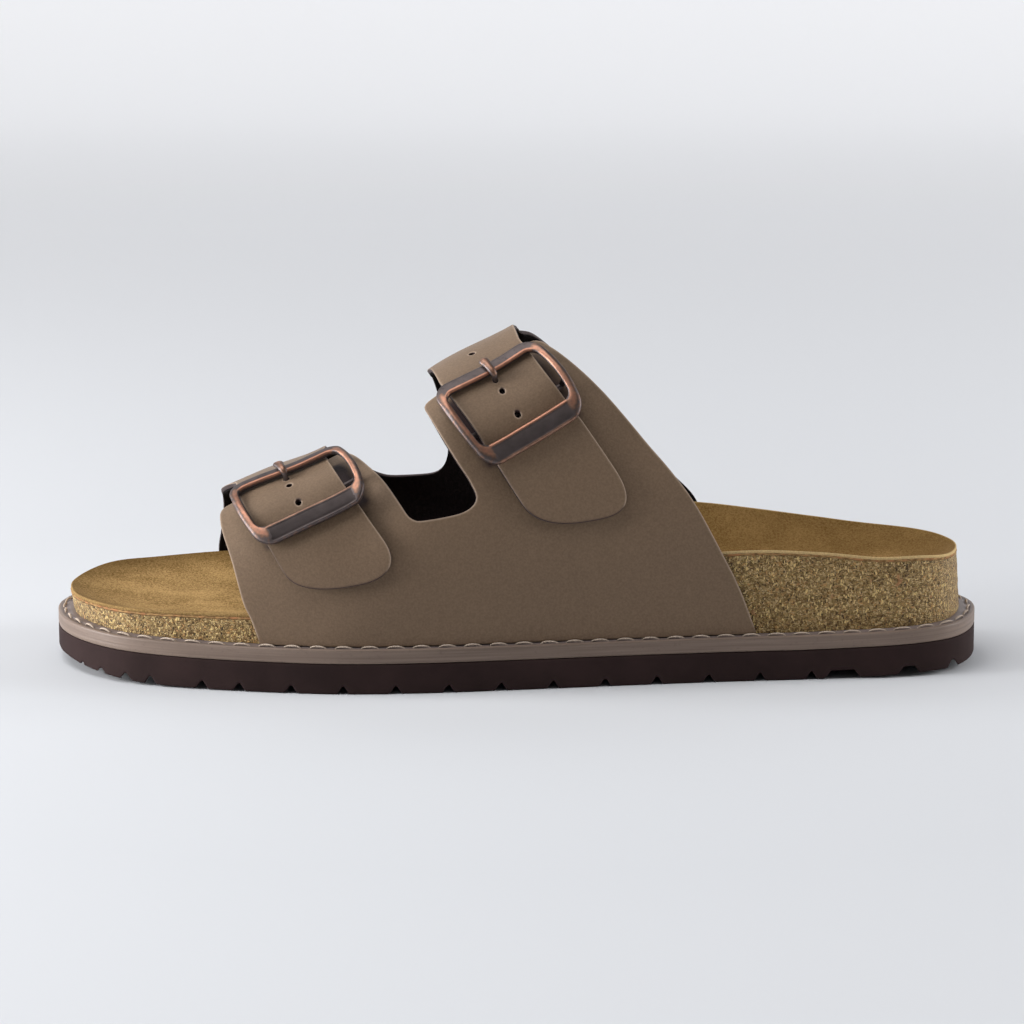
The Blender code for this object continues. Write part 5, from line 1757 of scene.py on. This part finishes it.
def hinge_patch(strap):
    """Hinge bar from inside one rail to inside the other."""
    half = STRAP_WIDTH / 2
    rail = half + RAIL_OVERLAP - RAIL_WIDTH / 2 + BUCKLE_BULGE
    rail_middle = LEATHER_THICKNESS * eased(FRAME_HEIGHT, 1, 0) + BAR_THICKNESS / 2
    drop = rail_middle - HINGE_HEIGHT
    rows = [(half + (rail - half) * out, HINGE_HEIGHT + drop * up) for out, up in HINGE_END]
    side = [(u, HINGE_PLACE, w) for u, w in rows]
    mirrored = [(-u, v, w) for u, v, w in side]
    middle = [(u, HINGE_PLACE, HINGE_HEIGHT) for u in half * (2 * inner_shares(4) - 1)]
    path = open_curve(mirrored + middle + side[::-1], 4)
    radius = np.full(len(path), HINGE_DIAMETER / 2)
    return tube_patch(strap, path, radius, radius, (0, 1, 0), patina=HINGE_PATINA)


def make_buckles(sizes, colours):
    """Both buckles: frame and hinge bar."""
    metal = finish_of(buckle_finish, colours)
    for strap in all_straps():
        patches = [frame_patch(strap), hinge_patch(strap)]
        name = "buckle_" + strap.name
        build_piece(name + "_frame", patches, metal, [name])


def make_prongs(sizes, colours):
    """Both prongs: curled round the hinge bar, up through a hole and over the top bar."""
    curl = CURL_RADIUS - PRONG_CURL_WALL / 2
    radius = PRONG_DIAMETER / 2
    hole = PRONG_HOLE * BUCKLE_LENGTH
    low = LEATHER_THICKNESS + GAP + radius
    under_bar = LEATHER_THICKNESS * eased(FRAME_HEIGHT, 1, PRONG_HOLE)
    bar = BAR_THICKNESS * eased(FRAME_SECTION, 1, TOP_BAR_PLACE)
    over = under_bar + bar + GAP / 2 + radius
    starts = {"hinge": HINGE_PLACE, "hole": hole}
    bases = {"curl": HINGE_HEIGHT + curl, "strap": low, "bar": over}
    metal = finish_of(buckle_finish, colours)
    for strap in all_straps():
        turn = np.radians(np.linspace(*CURL_ANGLES, CURL_POINTS))
        half_width, half_wall = CURL_WIDTH / 2, PRONG_CURL_WALL / 2
        centres = zip(HINGE_PLACE + curl * np.cos(turn), HINGE_HEIGHT + curl * np.sin(turn))
        rows = [(0, v, w, half_width, half_wall) for v, w in centres]
        for start, along, base, height, wide, deep in PRONG_SHAFT:
            place = starts[start] + along * radius
            share = np.clip((HINGE_PLACE - place) / (HINGE_PLACE - hole), 0, 1)
            lift = bases[base] + height * radius
            rows.append((strap.middle(hole) * share, place, lift, radius * wide, radius * deep))
        rows = open_curve(rows, 4)
        sides = np.abs(np.cos(full_turn(TUBE_SIDES)))
        # Painted shade with dark patina on the prong under the top bar.
        shaded_below_bar = smooth_step(hole - radius, hole, rows[:, 1])[:, None]
        patina = np.maximum(PRONG_PATINA + PRONG_SIDE_PATINA * sides, PRONG_LOW_SHADE_AND_PATINA * shaded_below_bar)
        patina = np.pad(patina, ((1, 1), (0, 0)), mode="edge")
        patch = tube_patch(strap, rows[:, :3], rows[:, 3], rows[:, 4], (1, 0, 0), patina=patina)
        name = "prong_" + strap.name
        build_piece(name + "_pin", [patch], metal, [name])


def make_stitches(sizes, colours):
    """Seam on the ledge: each stitch is an arched tube that leans outward along its length."""
    loop = Loop(sizes.stations)
    plan = loop.plan(sizes.stitch_place)
    closed = np.vstack([plan, plan[:1]])
    run = run_along(closed)
    outward = np.vstack([loop.outward, loop.outward[:1]])
    ledge = ledge_height(np.append(loop.along, loop.along[0]))
    count = round(run[-1] / sizes.stitch_pitch)
    steps = np.linspace(0, 1, STITCH_ROWS)
    arch = np.sin(math.pi * steps)
    start = np.arange(count) * run[-1] / count
    spot = (start[:, None] + steps[None] * sizes.stitch_length) % run[-1]
    place = np.stack([np.interp(spot, run, column) for column in closed.T], axis=-1)
    out = np.stack([np.interp(spot, run, column) for column in outward.T], axis=-1)
    place = place + out * ((steps - 0.5) * sizes.thread * STITCH_LEAN)[None, :, None]
    radius = sizes.thread / 2
    rise = sizes.stitch_arch * arch**STITCH_FULLNESS - radius * STITCH_SINK * (1 - arch) ** 2
    height = np.interp(spot, run, ledge) + rise[None]
    full = radius * (THREAD_TAPER + (1 - THREAD_TAPER) * arch**0.5)
    turn = full_turn(STITCH_SIDES)
    side = np.cos(turn)[None, None, :] * full[None, :, None]
    up = np.sin(turn)[None, None, :] * full[None, :, None] * THREAD_FLATNESS
    rings = np.concatenate([
        place[:, :, None] + out[:, :, None] * side[..., None],
        (height[:, :, None] + up)[..., None],
    ], axis=-1)
    middle = rings.mean(2, keepdims=True)
    rings = np.concatenate([
        np.broadcast_to(middle[:, :1], rings[:, :1].shape),
        rings,
        np.broadcast_to(middle[:, -1:], rings[:, :1].shape),
    ], axis=1)
    rows, columns = rings.shape[1:3]
    quads = grid_quads(rows, columns, wrap_columns=True)
    faces = (quads[None] + (np.arange(count) * rows * columns)[:, None, None]).reshape(-1, 4)
    lengthwise = np.linspace(0, sizes.stitch_length / MM, rows)[None, :, None]
    around = np.linspace(0, THREAD_TWISTS, columns)[None, None, :]
    each = np.zeros((count, 1, 1))
    flat_map = np.stack(np.broadcast_arrays(lengthwise, around, each)[:2], axis=-1)
    patch = {
        "points": rings.reshape(-1, 3),
        "faces": faces,
        "map": flat_map.reshape(-1, 2),
        "marks": {},
    }
    return build_piece("ledge_stitches", [patch], finish_of(thread_finish, colours), [])


def make_stage(colours):
    """Floor that sweeps up into a backdrop, the lights and the camera."""
    turn = np.linspace(0, math.pi / 2, 25)
    bend_y = BACKDROP_REACH - BACKDROP_BEND * (1 - np.sin(turn))
    y = np.concatenate([[-BACKDROP_REACH], bend_y, [BACKDROP_REACH]])
    z = np.concatenate([[0], BACKDROP_BEND * (1 - np.cos(turn)), [BACKDROP_HEIGHT]])
    x = np.linspace(-BACKDROP_WIDTH / 2, BACKDROP_WIDTH / 2, 9)
    points = np.stack(np.broadcast_arrays(x[None, :], y[:, None], z[:, None]), axis=-1)
    mesh = bpy.data.meshes.new("backdrop")
    mesh.from_pydata(points.reshape(-1, 3).tolist(), [], grid_quads(len(y), len(x)).tolist())
    mesh.shade_smooth()
    mesh.materials.append(finish_of(stage_finish, colours))
    backdrop = bpy.data.objects.new("backdrop", mesh)
    bpy.context.scene.collection.objects.link(backdrop)
    for row in LIGHTS:
        add_light(*row)
    world = bpy.data.worlds.new("studio")
    world.use_nodes = True
    world.node_tree.nodes["Background"].inputs["Color"].default_value = (1, 1, 1, 1)
    world.node_tree.nodes["Background"].inputs["Strength"].default_value = WORLD_LIGHT
    bpy.context.scene.world = world
    add_camera()


def add_light(name, place, size, power):
    """A square soft light aimed at the sandal."""
    light = bpy.data.lights.new(name, "AREA")
    light.size = size
    light.energy = power
    lamp = bpy.data.objects.new(name, light)
    lamp.location = place
    lamp.rotation_euler = (CAMERA_AIM - Vector(place)).to_track_quat("-Z", "Y").to_euler()
    bpy.context.scene.collection.objects.link(lamp)


def add_camera():
    """Camera at the photograph's angle."""
    data = bpy.data.cameras.new("camera")
    camera = bpy.data.objects.new("camera", data)
    bpy.context.scene.collection.objects.link(camera)
    view = Vector((0, math.cos(CAMERA_TILT), -math.sin(CAMERA_TILT)))
    camera.location = CAMERA_AIM - view * CAMERA_DISTANCE
    camera.rotation_euler = view.to_track_quat("-Z", "Y").to_euler()
    data.sensor_width = SENSOR_WIDTH
    data.lens = SENSOR_WIDTH * CAMERA_DISTANCE / PICTURE_WIDTH_AT_AIM
    data.shift_x, data.shift_y = CAMERA_SHIFT
    bpy.context.scene.camera = camera


def settings(context):
    return context.scene.sandal_sizes, context.scene.sandal_colours


class SANDAL_OT_outsole(bpy.types.Operator):
    """Make the grooved rubber outsole"""

    bl_idname = "sandal.outsole"
    bl_label = "Outsole"

    def execute(self, context):
        make_outsole(*settings(context))
        return {"FINISHED"}


class SANDAL_OT_welt(bpy.types.Operator):
    """Make the welt with its stitching channel"""

    bl_idname = "sandal.welt"
    bl_label = "Welt"

    def execute(self, context):
        make_welt(*settings(context))
        return {"FINISHED"}


class SANDAL_OT_footbed(bpy.types.Operator):
    """Make the cork footbed and the jute line over it"""

    bl_idname = "sandal.footbed"
    bl_label = "Cork footbed"

    def execute(self, context):
        make_cork(*settings(context))
        make_jute(*settings(context))
        return {"FINISHED"}


class SANDAL_OT_insole(bpy.types.Operator):
    """Make the suede cover of the footbed"""

    bl_idname = "sandal.insole"
    bl_label = "Suede cover"

    def execute(self, context):
        make_insole(*settings(context))
        return {"FINISHED"}


class SANDAL_OT_quarters(bpy.types.Operator):
    """Make the leather and lining of both quarters"""

    bl_idname = "sandal.quarters"
    bl_label = "Quarters and straps"

    def execute(self, context):
        make_outer_quarter(*settings(context))
        make_inner_quarter(*settings(context))
        return {"FINISHED"}


class SANDAL_OT_buckles(bpy.types.Operator):
    """Make the frames, hinge bars and prongs of both buckles"""

    bl_idname = "sandal.buckles"
    bl_label = "Buckles"

    def execute(self, context):
        make_buckles(*settings(context))
        make_prongs(*settings(context))
        return {"FINISHED"}


class SANDAL_OT_stitches(bpy.types.Operator):
    """Make the seam on the ledge"""

    bl_idname = "sandal.stitches"
    bl_label = "Ledge stitches"

    def execute(self, context):
        make_stitches(*settings(context))
        return {"FINISHED"}


class SANDAL_OT_stage(bpy.types.Operator):
    """Make the floor, the lights and the camera"""

    bl_idname = "sandal.stage"
    bl_label = "Stage"

    def execute(self, context):
        make_stage(context.scene.sandal_colours)
        return {"FINISHED"}


PIECES = (
    SANDAL_OT_outsole,
    SANDAL_OT_welt,
    SANDAL_OT_footbed,
    SANDAL_OT_insole,
    SANDAL_OT_quarters,
    SANDAL_OT_buckles,
    SANDAL_OT_stitches,
    SANDAL_OT_stage,
)


class SANDAL_PT_panel(bpy.types.Panel):
    """Sizes, colours and pieces of the sandal"""

    bl_label = "Cork Footbed Sandal"
    bl_space_type = "VIEW_3D"
    bl_region_type = "UI"
    bl_category = "Sandal"

    def draw(self, context):
        layout = self.layout
        for group in settings(context):
            box = layout.box()
            for name in group.__annotations__:
                box.prop(group, name)
        for piece in PIECES:
            layout.operator(piece.bl_idname)


CLASSES = (SandalSizes, SandalColours, *PIECES, SANDAL_PT_panel)


def register():
    for each in CLASSES:
        bpy.utils.register_class(each)
    bpy.types.Scene.sandal_sizes = PointerProperty(type=SandalSizes)
    bpy.types.Scene.sandal_colours = PointerProperty(type=SandalColours)


def unregister():
    del bpy.types.Scene.sandal_colours
    del bpy.types.Scene.sandal_sizes
    for each in reversed(CLASSES):
        bpy.utils.unregister_class(each)


def main():
    register()
    bpy.context.scene.view_settings.view_transform = "Standard"
    bpy.ops.sandal.outsole()
    bpy.ops.sandal.welt()
    bpy.ops.sandal.footbed()
    bpy.ops.sandal.insole()
    bpy.ops.sandal.quarters()
    bpy.ops.sandal.buckles()
    bpy.ops.sandal.stitches()
    bpy.ops.sandal.stage()


if __name__ == "__main__":
    main()
